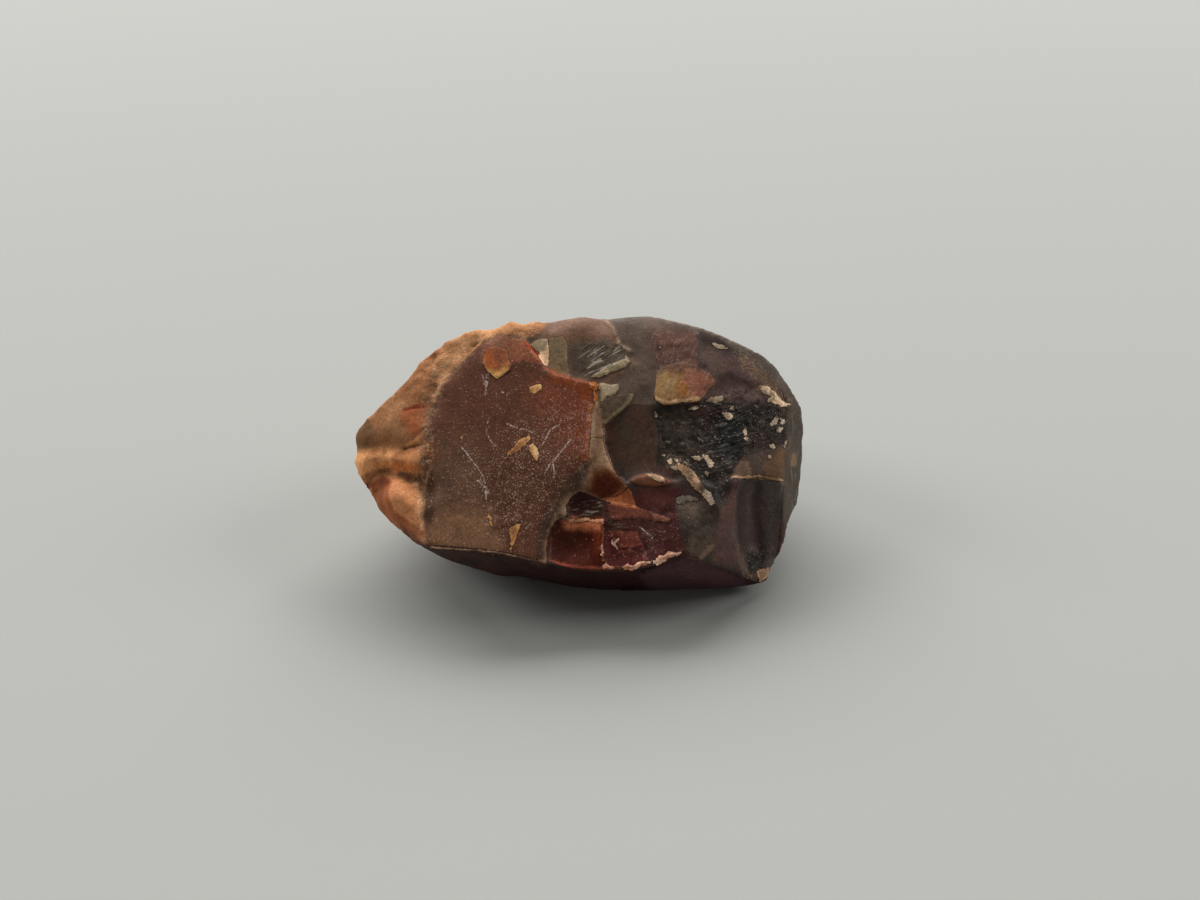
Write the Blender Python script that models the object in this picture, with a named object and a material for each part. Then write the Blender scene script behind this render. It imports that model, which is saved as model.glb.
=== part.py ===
"""A chunk of petrified wood: one broken, chert-like stone with a lumpy rind on its left end.

The stone is shaped the way it was broken. Its corners span a hull, slabs and scoops are struck off
that hull, then its skin is split fine enough to take rounding, creases, lumps and the rind's
roughness. It stands on a flat spot at z = 0. Lengths are in millimetres until the last step.
"""

import bmesh
import bpy
from mathutils import Matrix, Vector, geometry, noise

MM = 0.001
NAME = "petrified_wood"

# Corners of the unbroken outline.
FRONT_RIM = [(-28.3, -24.2, 15.0), (-19.8, -25.0, 14.8), (-5.8, -27.4, 14.0), (4.4, -28.0, 13.9),
             (12.8, -27.2, 12.5), (21.2, -25.3, 13.5), (27.5, -24.5, 10.0), (34.8, -22.6, 4.5)]
FRONT_FOOT = [(-24.6, -20.7, 7.0), (-15.2, -20.6, 3.0), (-3.5, -20.2, 0.0), (4.4, -21.6, 0.0),
              (24.1, -21.3, 0.0), (32.9, -21.4, 0.6), (36.9, -21.2, 1.6),
              (38.5, -21.0, 3.8)]
BIG_FACET = [(-28.8, -19.8, 17.6), (-29.0, -13.1, 21.7), (-28.5, -4.4, 26.9), (-26.0, 3.5, 31.8),
             (-22.8, 7.6, 34.4), (-19.4, 10.6, 36.4), (-15.4, 12.0, 37.4), (-10.1, 11.1, 37.0),
             (-6.4, 6.2, 34.2), (3.8, 3.0, 32.7), (2.1, -10.5, 24.5)]
RIGHT_END = [(39.3, -17.4, 5.0), (40.5, -11.6, 7.0), (44.1, -7.0, 9.0), (45.4, -1.7, 13.0),
             (46.2, 5.7, 20.0), (45.7, 7.5, 23.0), (42.7, 9.0, 27.7), (41.7, 3.7, 25.5),
             (41.0, -1.5, 22.0), (40.2, -7.8, 17.0), (30.2, -11.2, 21.0)]
CREST = [(39.6, 11.0, 31.5), (36.5, 12.0, 33.7), (30.5, 14.0, 35.7), (24.5, 16.0, 37.3),
         (14.5, 18.0, 38.4), (7.4, 18.0, 37.6), (-0.6, 18.0, 38.1), (-6.0, 16.0, 37.5),
         (-12.7, 16.0, 37.5), (-20.6, 14.0, 37.0), (-26.6, 13.0, 36.0), (-31.4, 9.0, 33.4),
         (-36.2, 6.0, 27.5), (-42.1, 1.1, 25.0), (-44.2, -0.9, 22.0)]
LEFT_END = [(-45.3, -2.4, 17.0), (-43.1, -5.7, 12.5), (-38.5, -10.2, 9.0), (-32.4, -15.2, 10.0),
            (-30.0, -20.2, 10.0), (-34.0, 0.0, 8.0), (-30.0, -8.0, 7.0)]
BACK = [(-38.0, 10.0, 20.0), (-28.0, 20.0, 24.0), (-14.0, 26.0, 22.0), (4.0, 29.0, 20.0),
        (20.0, 28.0, 20.0), (34.0, 22.0, 18.0), (42.0, 15.0, 18.0),
        (-20.0, 19.0, 32.0), (-4.0, 24.0, 31.0), (14.0, 25.0, 31.0), (29.0, 21.0, 29.0),
        (-32.0, 8.0, 8.0), (-20.0, 18.0, 7.0), (-4.0, 23.0, 5.0), (14.0, 24.0, 5.0),
        (28.0, 19.0, 5.0), (38.0, 8.0, 6.0)]
FLAT_SPOT = [(-14.0, -12.0, 0.0), (30.0, -14.0, 0.0), (28.0, 4.0, 0.0), (14.0, 14.0, 0.0),
             (-2.0, 13.0, 0.0), (-13.0, 4.0, 0.0)]

# The big facet's own axes: across it, up it and out of it, from a corner on the front rim.
FACET_ORIGIN = Vector((-5.8, -27.4, 14.0))
FACET_OUT = Vector((-0.0352, -0.5165, 0.8556)).normalized()
FACET_ACROSS = Vector((0.9994, -0.0182, 0.0302)).normalized()
FACET_UP = FACET_OUT.cross(FACET_ACROSS)
SLAB_TOP = 15.0
BOWL_PRISM_DEPTH = 8.0

# Slabs that came off beside the big facet: the outline across and up the facet, then the floor's
# depth under the facet at the origin, and how much it deepens across and up.
SLABS = {
    "upper_slab": ([(-6.8, 49.9), (-4.3, 44.9), (-3.4, 43.1), (-2.0, 41.6), (-0.6, 39.2), (1.6, 37.9),
                    (3.9, 37.2), (6.7, 36.4), (9.6, 35.7), (9.0, 33.8), (9.4, 31.7), (8.7, 29.0),
                    (8.5, 23.9), (7.9, 19.9), (6.4, 18.9), (9.0, 6.0), (28.7, 2.1), (47.9, 15.4),
                    (52.9, 35.7), (42.1, 53.0), (20.3, 60.1), (2.1, 58.2)], (1.3, 0.0, 0.0)),
    "middle_slab": ([(19.4, 38.0), (16.4, 32.9), (14.1, 30.4), (10.8, 27.2), (11.0, 22.9),
                     (12.1, 19.4), (13.6, 17.0), (15.1, 15.2), (17.8, 16.8), (20.6, 16.9),
                     (23.1, 15.9), (27.2, 16.5), (33.1, 23.6), (33.6, 38.0)], (4.6, -0.02, -0.08)),
    "right_slab": ([(20.3, 31.6), (21.8, 30.9), (25.7, 31.1), (29.6, 32.5), (30.8, 35.0),
                    (32.8, 37.0), (34.6, 38.9), (46.9, 34.6), (44.2, 17.5), (29.2, 15.6),
                    (23.1, 15.9), (19.7, 19.7)], (-1.1, 0.122, 0.036)),
}

# Bowls struck out inside an outline on the big facet: (outline, deepest point, out, half widths).
BOWLS = {
    "striped_bowl": ([(3.6, 10.5), (3.8, 12.3), (4.7, 13.6), (6.3, 14.6), (8.2, 13.8), (10.1, 12.8),
                      (10.5, 10.0), (10.1, 8.0), (8.2, 7.8), (5.9, 8.4)],
                     (0.8, -16.9, 17.2), (0.0, -0.45, 0.9), (6.5, 5.5, 5.0)),
    "red_bowl": ([(0.2, 2.0), (0.3, 5.0), (1.0, 7.6), (2.6, 9.2), (4.0, 8.8), (6.3, 8.6), (8.6, 8.8),
                  (10.7, 8.6), (10.8, 6.0), (10.6, 3.1), (10.8, -4.0), (0.2, -4.0)],
                 (-1.9, -21.3, 13.3), (0.1, -0.55, 0.83), (9.0, 7.5, 6.0)),
    "corner_bowl": ([(11.2, 6.8), (13.9, 7.0), (17.1, 6.7), (17.5, 4.6), (18.6, 2.6), (19.4, -4.0),
                     (11.4, -4.0)],
                    (8.6, -22.9, 12.7), (0.05, -0.55, 0.83), (9.0, 8.5, 9.0)),
}

# Scoops: (deepest point, direction out of the stone, half widths across, along and out).
SCOOPS = {
    "front_hollow": ((6.3, -25.2, 12.3), (-0.0352, -0.5165, 0.8556), (21.2, 31.8, 12.0)),
    "right_notch": ((40.1, -11.0, 2.5), (1.0, 0.0, 0.0), (9.8, 9.8, 9.8)),
    "left_notch": ((-31.2, -17.0, 7.6), (-1.0, 0.0, 0.0), (3.6, 3.6, 3.6)),
    "back_left_scar": ((-22.0, 19.5, 18.0), (-0.6, 0.75, 0.15), (22.0, 20.0, 26.0)),
    "back_scar": ((6.0, 25.5, 14.0), (0.05, 0.97, -0.25), (24.0, 20.0, 22.0)),
    "back_right_scar": ((31.5, 19.5, 21.0), (0.5, 0.8, 0.25), (20.0, 20.0, 26.0)),
}

# The trough under the lip at the right: its middle, its direction down the stone, out of it,
# its half widths, the lip's middle and how far the trough runs up behind the lip.
TROUGH_OUT = Vector((0.461, -0.665, 0.588)).normalized()
TROUGH_DOWN = Vector((0.05, -0.64, -0.766)).normalized()
LIP = Vector((35.4, -9.3, 18.9))
TROUGH_FROM_LIP = 9.5
TROUGH_RISE = 4.5
TROUGH_RADII = (7.8, 16.0, 7.5)
LIP_UNDERCUT = 0.55

# Creases and ridges: (points, half width, height). A crease has a negative height.
LINES = {
    "deep_crease": ([(-28.6, -14.6, 20.6), (-31.4, -12.3, 21.0), (-33.7, -10.8, 21.2), (-35.8, -9.5, 21.1),
                     (-38.4, -8.6, 20.1), (-40.3, -8.0, 17.9), (-42.1, -6.7, 14.5)], 1.7, -2.1),
    "side_crease": ([(-38.4, -8.6, 20.1), (-37.4, -10.4, 19.3), (-39.4, -9.9, 16.3),
                     (-41.4, -8.4, 12.6)], 1.4, -1.2),
    "upper_crease": ([(-44.6, -1.8, 19.6), (-40.8, -4.1, 21.9), (-37.5, -5.4, 22.9), (-34.4, -6.4, 23.5),
                      (-32.2, -6.5, 24.3), (-30.4, -5.7, 25.5)], 1.2, -0.9),
    "crest_groove": ([(5.2, 20.0, 37.8), (5.6, 15.7, 38.0), (7.0, 14.8, 37.6), (8.4, 12.2, 36.5),
                      (8.8, 10.1, 35.6), (10.7, 8.9, 34.9)], 1.4, -0.5),
    "pale_ridge": ([(17.5, -8.8, 21.8), (19.7, -11.0, 22.4), (21.6, -12.5, 21.2), (25.0, -14.5, 19.6),
                    (26.8, -17.4, 17.3)], 0.9, 0.8),
    "short_ridge": ([(9.8, -12.5, 21.2), (12.1, -11.6, 21.9), (14.9, -11.8, 22.1), (18.7, -13.3, 21.1)],
                    1.2, 0.6),
}

# Swellings and dips: (middle, radius, height).
LUMPS = [
    ((-36.3, -7.6, 22.0), 3.6, 0.9), ((-41.5, -5.0, 20.0), 3.0, 0.7), ((-34.9, -15.0, 17.0), 5.5, 1.5),
    ((-40.0, -10.0, 13.0), 3.0, 0.6), ((-36.0, 0.0, 25.5), 6.0, 0.8), ((-32.2, 5.8, 31.3), 2.6, 0.7),
    ((-26.1, 11.8, 35.6), 2.6, 0.7), ((-21.1, 13.6, 36.9), 2.2, 0.6), ((-13.2, 15.0, 37.5), 3.0, 0.7),
    ((-29.3, 9.0, 34.0), 2.0, -0.6), ((-17.4, 13.5, 37.1), 2.0, -0.5), ((-5.6, 16.0, 37.5), 2.5, -0.6),
    ((14.4, 14.6, 37.2), 7.0, 0.5), ((0.4, 15.5, 38.0), 4.0, 0.5), ((21.0, -19.0, 15.5), 5.0, 0.5),
]

# The rind covers the stone beyond this line, seen from above.
RIND_LINE = [(-29.0, -40.0), (-29.0, -4.4), (-26.0, 3.5), (-22.8, 7.6), (-19.4, 10.6), (-15.4, 12.4),
             (-10.1, 13.5), (-7.0, 16.0), (-10.0, 28.0), (-10.0, 60.0)]
RIND_FADE = 2.5
RIND_ROUGHNESS = ((8.0, 1.0), (3.8, 0.4))
BROKEN_ROUGHNESS = ((14.0, 0.3), (6.0, 0.12))
FACET_CALM = 0.25

RELIEF_FADE_HEIGHT = 3.0
NOISE_OFFSET = Vector((7.0, 0.0, 0.0))
FACET_DEPTH = 1.0

JOIN_GAP = 0.02
FLAT_TURN = 0.05
SHARP_TURN = 0.60
ROUNDING_PASSES = 8
ROUNDING_SHARE = 0.5
HELD_HEIGHT = 0.05
FINE_EDGE = 2.0
COARSE_EDGE = 3.4
BACK_START = 22.0
UNDERSIDE_TOP = 4.0
SPLIT_ROUNDS = 5
MOST_TRIANGLES = 9500
SPHERE_SPLITS = 4


def clear_scene():
    for obj in list(bpy.data.objects):
        bpy.data.objects.remove(obj)


def new_object(name, bm):
    mesh = bpy.data.meshes.new(name)
    bm.to_mesh(mesh)
    bm.free()
    return bpy.data.objects.new(name, mesh)


def hull_of(corners):
    """The convex hull of these corners."""
    bm = bmesh.new()
    for corner in corners:
        bm.verts.new(corner)
    made = bmesh.ops.convex_hull(bm, input=bm.verts)
    spare = {v for v in made["geom_interior"] + made["geom_unused"] if isinstance(v, bmesh.types.BMVert)}
    bmesh.ops.delete(bm, geom=list(spare), context="VERTS")
    bmesh.ops.recalc_face_normals(bm, faces=bm.faces)
    return new_object(NAME, bm)


def slab_cutter(name, outline, floor):
    """A slab whose floor lies under the big facet and whose top stands clear of the stone."""
    depth, across_slope, up_slope = floor
    bm = bmesh.new()
    corners = []
    for across, up in outline:
        below = depth + across_slope * across + up_slope * up
        at = FACET_ORIGIN + FACET_ACROSS * across + FACET_UP * up - FACET_OUT * below
        corners.append(bm.verts.new(at))
    made = bmesh.ops.extrude_face_region(bm, geom=[bm.faces.new(corners)])
    top = [v for v in made["geom"] if isinstance(v, bmesh.types.BMVert)]
    bmesh.ops.translate(bm, verts=top, vec=FACET_OUT * SLAB_TOP)
    bmesh.ops.recalc_face_normals(bm, faces=bm.faces)
    return new_object(name, bm)


def scoop_cutter(name, deepest, out, radii):
    """An ellipsoid that reaches the deepest point from outside the stone."""
    out = Vector(out).normalized()
    turn = out.to_track_quat("Z", "Y").to_matrix().to_4x4()
    centre = Vector(deepest) + out * radii[2]
    bm = bmesh.new()
    place = Matrix.Translation(centre) @ turn @ Matrix.Diagonal((*radii, 1.0))
    bmesh.ops.create_icosphere(bm, subdivisions=SPHERE_SPLITS, radius=1.0, matrix=place)
    return new_object(name, bm)


def bowl_cutter(name, outline, deepest, out, radii):
    """A scoop that stops at an outline on the big facet; the scoop itself is returned second."""
    prism = slab_cutter(name, outline, (BOWL_PRISM_DEPTH, 0.0, 0.0))
    scoop = scoop_cutter(name + "_floor", deepest, out, radii)
    modifier = prism.modifiers.new("floor", "BOOLEAN")
    modifier.operation = "INTERSECT"
    modifier.object = scoop
    return prism, scoop


def trough_cutter():
    """A long ellipsoid laid down the stone and cut off under the lip, behind which it runs up."""
    across = TROUGH_DOWN.cross(TROUGH_OUT)
    turn = Matrix((across, TROUGH_DOWN, TROUGH_OUT)).transposed().to_4x4()
    centre = LIP + TROUGH_DOWN * TROUGH_FROM_LIP + TROUGH_OUT * TROUGH_RISE
    bm = bmesh.new()
    place = Matrix.Translation(centre) @ turn @ Matrix.Diagonal((*TROUGH_RADII, 1.0))
    bmesh.ops.create_icosphere(bm, subdivisions=SPHERE_SPLITS, radius=1.0, matrix=place)
    everything = list(bm.verts) + list(bm.edges) + list(bm.faces)
    away = TROUGH_DOWN - TROUGH_OUT * LIP_UNDERCUT
    made = bmesh.ops.bisect_plane(bm, geom=everything, plane_co=LIP, plane_no=away, clear_inner=True)
    rim = [e for e in made["geom_cut"] if isinstance(e, bmesh.types.BMEdge)]
    bmesh.ops.edgeloop_fill(bm, edges=rim)
    bmesh.ops.recalc_face_normals(bm, faces=bm.faces)
    return new_object("trough", bm)


def put_away(cutter, cutters):
    cutter.hide_render = True
    cutter.display_type = "WIRE"
    cutters.objects.link(cutter)


def cut(stone, cutter, cutters):
    put_away(cutter, cutters)
    modifier = stone.modifiers.new(cutter.name, "BOOLEAN")
    modifier.operation = "DIFFERENCE"
    modifier.object = cutter


def evaluated_mesh(stone):
    """The stone's mesh with its modifiers applied."""
    bpy.context.view_layer.update()
    graph = bpy.context.evaluated_depsgraph_get()
    mesh = bpy.data.meshes.new_from_object(stone.evaluated_get(graph))
    stone.modifiers.clear()
    return mesh


def longest_edge(at):
    """The back and the underside are seen less, so they get by with longer edges."""
    return COARSE_EDGE if at.y > BACK_START or at.z < UNDERSIDE_TOP else FINE_EDGE


def split_evenly(bm):
    bmesh.ops.remove_doubles(bm, verts=bm.verts, dist=JOIN_GAP)
    bmesh.ops.dissolve_degenerate(bm, edges=bm.edges, dist=JOIN_GAP)
    bmesh.ops.triangulate(bm, faces=bm.faces)
    for _ in range(SPLIT_ROUNDS):
        long = [e for e in bm.edges
                if e.calc_length() > longest_edge((e.verts[0].co + e.verts[1].co) / 2.0)]
        if not long:
            break
        bmesh.ops.subdivide_edges(bm, edges=long, cuts=1)
        bmesh.ops.triangulate(bm, faces=[f for f in bm.faces if len(f.verts) > 3])
        flat = [e for e in bm.edges if e.is_manifold and e.calc_face_angle() < FLAT_TURN]
        bmesh.ops.beautify_fill(bm, faces=bm.faces, edges=flat)


def is_sharp(edge):
    return edge.calc_face_angle(0.0) > SHARP_TURN


def round_off(bm):
    """Draws vertices towards their neighbours, away from sharp edges and from the flat spot."""
    held = {v for e in bm.edges if is_sharp(e) for v in e.verts}
    free = [v for v in bm.verts if v not in held and v.co.z > HELD_HEIGHT]
    for _ in range(ROUNDING_PASSES):
        moved = {}
        for vert in free:
            around = [e.other_vert(vert).co for e in vert.link_edges]
            moved[vert] = vert.co.lerp(sum(around, Vector()) / len(around), ROUNDING_SHARE)
        for vert, at in moved.items():
            vert.co = at


def beyond_rind_line(at):
    """How far a point lies on the rind's side of its line, seen from above; negative elsewhere."""
    flat = Vector((at.x, at.y))
    nearest = None
    side = 1.0
    for start, end in zip(RIND_LINE, RIND_LINE[1:]):
        start, end = Vector(start), Vector(end)
        on_line, share = geometry.intersect_point_line(flat, start, end)
        share = min(max(share, 0.0), 1.0)
        gap = (flat - start.lerp(end, share)).length
        if nearest is None or gap < nearest:
            nearest = gap
            along = end - start
            side = 1.0 if along.x * (flat.y - start.y) - along.y * (flat.x - start.x) > 0.0 else -1.0
    return side * nearest


def line_gap(at, points):
    gaps = []
    for start, end in zip(points, points[1:]):
        start, end = Vector(start), Vector(end)
        _, share = geometry.intersect_point_line(at, start, end)
        gaps.append((at - start.lerp(end, min(max(share, 0.0), 1.0))).length)
    return min(gaps)


def bell(share):
    return max(0.0, 1.0 - share * share) ** 2


def rise_at(at):
    """How far the skin stands out of the rounded, broken surface here."""
    rise = 0.0
    for points, half_width, height in LINES.values():
        rise += height * bell(line_gap(at, points) / (2.0 * half_width))
    for middle, radius, height in LUMPS:
        rise += height * bell((at - Vector(middle)).length / radius)
    rind = min(max(beyond_rind_line(at) / RIND_FADE + 0.5, 0.0), 1.0)
    facet_depth = FACET_OUT.dot(at - FACET_ORIGIN)
    calm = FACET_CALM if facet_depth > -FACET_DEPTH and rind < 0.5 else 1.0
    for size, height in RIND_ROUGHNESS:
        rise += rind * height * noise.noise(at / size)
    for size, height in BROKEN_ROUGHNESS:
        rise += (1.0 - rind) * calm * height * noise.noise(at / size + NOISE_OFFSET)
    return rise


def add_relief(bm):
    bm.normal_update()
    moved = []
    for vert in bm.verts:
        share = min(vert.co.z / RELIEF_FADE_HEIGHT, 1.0)
        moved.append((vert, vert.co + vert.normal * rise_at(vert.co) * share))
    for vert, at in moved:
        vert.co = at


def thin_out(stone):
    """Spends the triangles where the skin bends and saves them where it is flat."""
    modifier = stone.modifiers.new("thin_out", "DECIMATE")
    modifier.ratio = min(1.0, MOST_TRIANGLES / len(stone.data.polygons))
    stone.data = evaluated_mesh(stone)


def centre_on_floor(mesh):
    """Puts the middle of the bounding box's underside at the origin."""
    xs = [v.co.x for v in mesh.vertices]
    ys = [v.co.y for v in mesh.vertices]
    lowest = min(v.co.z for v in mesh.vertices)
    middle = Vector(((min(xs) + max(xs)) / 2.0, (min(ys) + max(ys)) / 2.0, lowest))
    mesh.transform(Matrix.Translation(-middle))


def stone_material():
    material = bpy.data.materials.new("petrified_wood")
    material.use_nodes = True
    shader = material.node_tree.nodes["Principled BSDF"]
    shader.inputs["Base Color"].default_value = (0.13, 0.075, 0.05, 1.0)
    shader.inputs["Roughness"].default_value = 0.6
    return material


def main():
    clear_scene()
    parts = bpy.data.collections.new("petrified wood chunk")
    cutters = bpy.data.collections.new("cutters")
    bpy.context.scene.collection.children.link(parts)
    bpy.context.scene.collection.children.link(cutters)
    corners = FRONT_RIM + FRONT_FOOT + BIG_FACET + RIGHT_END + CREST + LEFT_END + BACK + FLAT_SPOT
    stone = hull_of(corners)
    parts.objects.link(stone)
    for name, (outline, floor) in SLABS.items():
        cut(stone, slab_cutter(name, outline, floor), cutters)
    for name, (outline, deepest, out, radii) in BOWLS.items():
        bowl, floor = bowl_cutter(name, outline, deepest, out, radii)
        put_away(floor, cutters)
        cut(stone, bowl, cutters)
    for name, (deepest, out, radii) in SCOOPS.items():
        cut(stone, scoop_cutter(name, deepest, out, radii), cutters)
    cut(stone, trough_cutter(), cutters)
    mesh = evaluated_mesh(stone)
    bm = bmesh.new()
    bm.from_mesh(mesh)
    split_evenly(bm)
    round_off(bm)
    add_relief(bm)
    bm.to_mesh(mesh)
    bm.free()
    stone.data = mesh
    thin_out(stone)
    centre_on_floor(stone.data)
    stone.data.transform(Matrix.Scale(MM, 4))
    stone.data.materials.append(stone_material())
    cutters.hide_render = True


main()
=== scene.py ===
"""The looks of a chunk of petrified wood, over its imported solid.

The solid is copied into a skin of fine, even faces. Named outlines, given as pixels of the
1200 x 900 photograph, place the flakes, chips and colour fields on that skin. They are painted in
four layers: a soft ground, and three layers of patches with crisp edges. A patch's edge is stored
as a signed gap in millimetres, which both the relief and the material read.
Where the photograph doesn't reach, the rind's line seen from above and solid noise take over.
"""

import math

import bmesh
import bpy
import numpy as np
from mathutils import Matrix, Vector, kdtree, noise


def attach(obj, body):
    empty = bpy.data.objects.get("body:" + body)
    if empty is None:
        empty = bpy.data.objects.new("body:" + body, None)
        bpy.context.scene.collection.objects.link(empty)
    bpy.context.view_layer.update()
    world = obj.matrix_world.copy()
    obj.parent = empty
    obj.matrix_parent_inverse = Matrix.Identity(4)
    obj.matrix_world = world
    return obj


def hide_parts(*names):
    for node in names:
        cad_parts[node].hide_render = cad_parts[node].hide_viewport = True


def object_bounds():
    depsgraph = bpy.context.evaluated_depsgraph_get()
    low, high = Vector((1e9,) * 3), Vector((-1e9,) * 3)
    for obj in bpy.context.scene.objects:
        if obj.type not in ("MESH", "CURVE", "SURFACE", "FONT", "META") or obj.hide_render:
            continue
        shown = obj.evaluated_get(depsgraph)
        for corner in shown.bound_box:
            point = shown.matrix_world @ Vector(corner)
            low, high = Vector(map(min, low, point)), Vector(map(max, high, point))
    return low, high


MM = 0.001
NODE = "petrified_wood"

# The camera looks along +Y and down, at a point that shows in the middle of the photograph.
PHOTO_WIDTH = 1200.0
PHOTO_MIDDLE = (600.0, 450.0)
LENS_MM = 35.0
SENSOR_MM = 36.0
CAMERA_DOWN = math.radians(40.0)
CAMERA_DISTANCE = 233.33
CAMERA_TARGET = (3.85, -1.82, 19.0)
CAMERA_RIGHT = np.array([1.0, 0.0, 0.0])
CAMERA_UP = np.array([0.0, math.sin(CAMERA_DOWN), math.cos(CAMERA_DOWN)])
CAMERA_AHEAD = np.array([0.0, math.cos(CAMERA_DOWN), -math.sin(CAMERA_DOWN)])
CAMERA_PLACE = np.array(CAMERA_TARGET) - CAMERA_AHEAD * CAMERA_DISTANCE
FOCAL_PX = PHOTO_WIDTH * LENS_MM / SENSOR_MM
PX_MM = CAMERA_DISTANCE / FOCAL_PX


# ---- outlines and lines

# Each one is a flat list of its points' pixels in the photograph, across and down in turn.
BIG_FACET = [
    424, 535, 423, 505, 424, 485, 426, 468, 434, 461, 440, 450, 434, 438, 430, 425, 432, 412, 437, 399,
    445, 385, 452, 378, 462, 366, 466, 358, 475, 348, 485, 340, 497, 336, 512, 335, 524, 339, 533, 347,
    539, 355, 545, 367, 556, 373, 568, 376, 582, 380, 597, 383, 595, 392, 596, 402, 592, 412, 591, 430,
    590, 445, 589, 460, 580, 466, 570, 478, 560, 490, 548, 508, 543, 525, 540, 545, 541, 560, 530, 558,
    505, 552, 480, 549, 450, 546, 428, 545]
SIDE_STRIP = [
    597, 384, 602, 392, 601, 405, 604, 424, 605, 445, 611, 462, 618, 475, 626, 484, 631, 492, 637, 507,
    624, 505, 606, 501, 600, 499, 590, 495, 580, 491, 571, 497, 566, 505, 566, 517, 556, 520, 549, 532,
    546, 548, 547, 562, 538, 560, 537, 540, 541, 522, 548, 505, 560, 488, 570, 476, 580, 466, 589, 460,
    590, 445, 591, 430, 592, 412, 596, 402]
SMOOTH_SCAR = [
    603, 424, 612, 414, 622, 407, 634, 404, 655, 406, 658, 440, 656, 466, 655, 474, 643, 474, 632, 480,
    624, 484, 616, 475, 609, 460, 604, 445]
RED_HOLLOW = [
    549, 560, 546, 548, 549, 532, 556, 520, 560, 515, 566, 521, 603, 522, 605, 545, 605, 571, 570, 569]
CORNER_FLAKE = [605, 531, 637, 531, 641, 541, 646, 552, 649, 561, 630, 568, 605, 570]
STRIPED_SCAR = [566, 517, 566, 505, 571, 497, 580, 491, 590, 495, 603, 501, 603, 520, 585, 521]
TROUGH = [
    738, 479, 760, 476, 783, 482, 781, 510, 778, 545, 772, 572, 750, 574, 740, 545, 735, 525, 735, 505]
FRONT_FACE = [
    410, 548, 424, 545, 450, 548, 480, 550, 505, 553, 530, 559, 548, 563, 575, 570, 600, 572, 640, 569,
    658, 565, 674, 558, 690, 557, 712, 564, 730, 571, 760, 581, 775, 590, 760, 610, 410, 610]
OLIVE_WINDOW = [549, 338, 563, 336, 567, 345, 567, 362, 570, 376, 556, 373, 548, 367]
BEIGE_STRIP = [541, 344, 547, 340, 549, 350, 548, 367, 543, 364, 539, 356]
BEIGE_CORNER = [530, 344, 540, 339, 548, 339, 545, 350, 538, 352]
PALE_FAN = [597, 384, 603, 383, 612, 385, 619, 384, 619, 389, 615, 395, 607, 397, 600, 404, 599, 394]
OLIVE_FLAKE = [600, 404, 607, 397, 616, 395, 634, 393, 632, 401, 624, 410, 614, 418, 605, 426, 601, 414]
OLIVE_FLAKE_EDGE = [632, 395, 630, 400, 622, 408, 612, 416, 604, 423]
PALE_STREAK = [591, 377, 603, 369, 614, 363, 627, 358, 631, 362, 624, 368, 610, 373, 599, 378]
PALE_SLIVERS = [
    [582, 360, 592, 352, 606, 345, 594, 354],
    [581, 372, 595, 361, 610, 352, 598, 363],
    [612, 352, 617, 346, 623, 343, 619, 350],
    [624, 352, 629, 358, 628, 368, 626, 360],
]
# A painted highlight along the lip flake's lower edge.
LIP_HIGHLIGHT_RIM = [
    731, 478, 732, 475, 744, 476, 758, 475, 772, 477, 784, 480, 783, 482, 772, 480, 758, 478, 742, 479]
ORANGE_FLAKE = [
    487, 348, 490, 346, 498, 347, 507, 350, 508, 358, 511, 365, 509, 371, 497, 379, 487, 371, 483, 364,
    484, 356]
AMBER_FLAKE = [
    657, 372, 662, 368, 672, 364, 684, 362, 697, 366, 712, 376, 716, 383, 708, 389, 704, 396, 699, 401,
    690, 403, 682, 402, 672, 405, 664, 405, 656, 401, 654, 396, 656, 384]
LIP_FLAKE = [
    731, 477, 733, 469, 742, 458, 758, 452, 775, 447, 786, 442, 785, 465, 783, 481, 772, 479, 758, 476,
    742, 478]
SHORT_FLAKE = [
    630, 480, 636, 476, 643, 474, 655, 474, 664, 477, 672, 481, 669, 485, 656, 487, 644, 486, 634, 484]
SHORT_FLAKE_CREAM = [646, 474, 655, 474, 663, 477, 666, 482, 658, 482, 651, 478]
BLOB_RIM = [620, 491, 630, 488, 636, 499, 640, 508, 626, 508, 608, 503, 602, 500, 612, 497]
PALE_RIDGE = [
    678, 463, 686, 466, 693, 471, 699, 479, 704, 487, 711, 493, 715, 502, 711, 506, 706, 499, 699, 492,
    692, 486, 687, 479, 682, 472, 678, 468]
SHORT_RIDGE = [675, 498, 684, 495, 696, 497, 701, 500, 688, 501, 682, 505, 677, 503]
LONG_RIDGE = [602, 503, 634, 506, 655, 513, 671, 519, 669, 523, 655, 521, 640, 518, 602, 521]
RED_LEDGE = [560, 515, 572, 519, 588, 518, 603, 520, 603, 523, 588, 521, 574, 523, 564, 520]
FACET_RIM_TOP = [522, 338, 533, 347, 539, 355, 545, 367, 556, 373]
FACET_RIM_BRIGHT = [527, 346, 534, 350, 541, 360]
FACET_RIM_RIGHT = [556, 373, 582, 380, 597, 383, 595, 392, 596, 402, 592, 412, 591, 430, 590, 445, 588, 461]
FACET_SPARKLE_RIM = [590, 404, 589, 420, 588, 436, 586, 450]
FACET_STEP = [505, 364, 512, 361, 524, 358, 540, 362, 550, 370]
# A painted highlight along the big facet's lower edge.
FRONT_HIGHLIGHT_EDGE = [432, 547, 470, 549, 500, 552, 520, 556, 545, 562]
CORNER_CRUMBS = [
    [589, 381, 598, 382, 600, 388, 594, 391, 590, 387],
    [593, 392, 598, 393, 598, 400, 594, 401],
    [590, 404, 594, 403, 593, 411, 590, 412],
    [588, 420, 591, 418, 591, 426],
    [587, 436, 590, 434, 589, 442],
]
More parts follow.
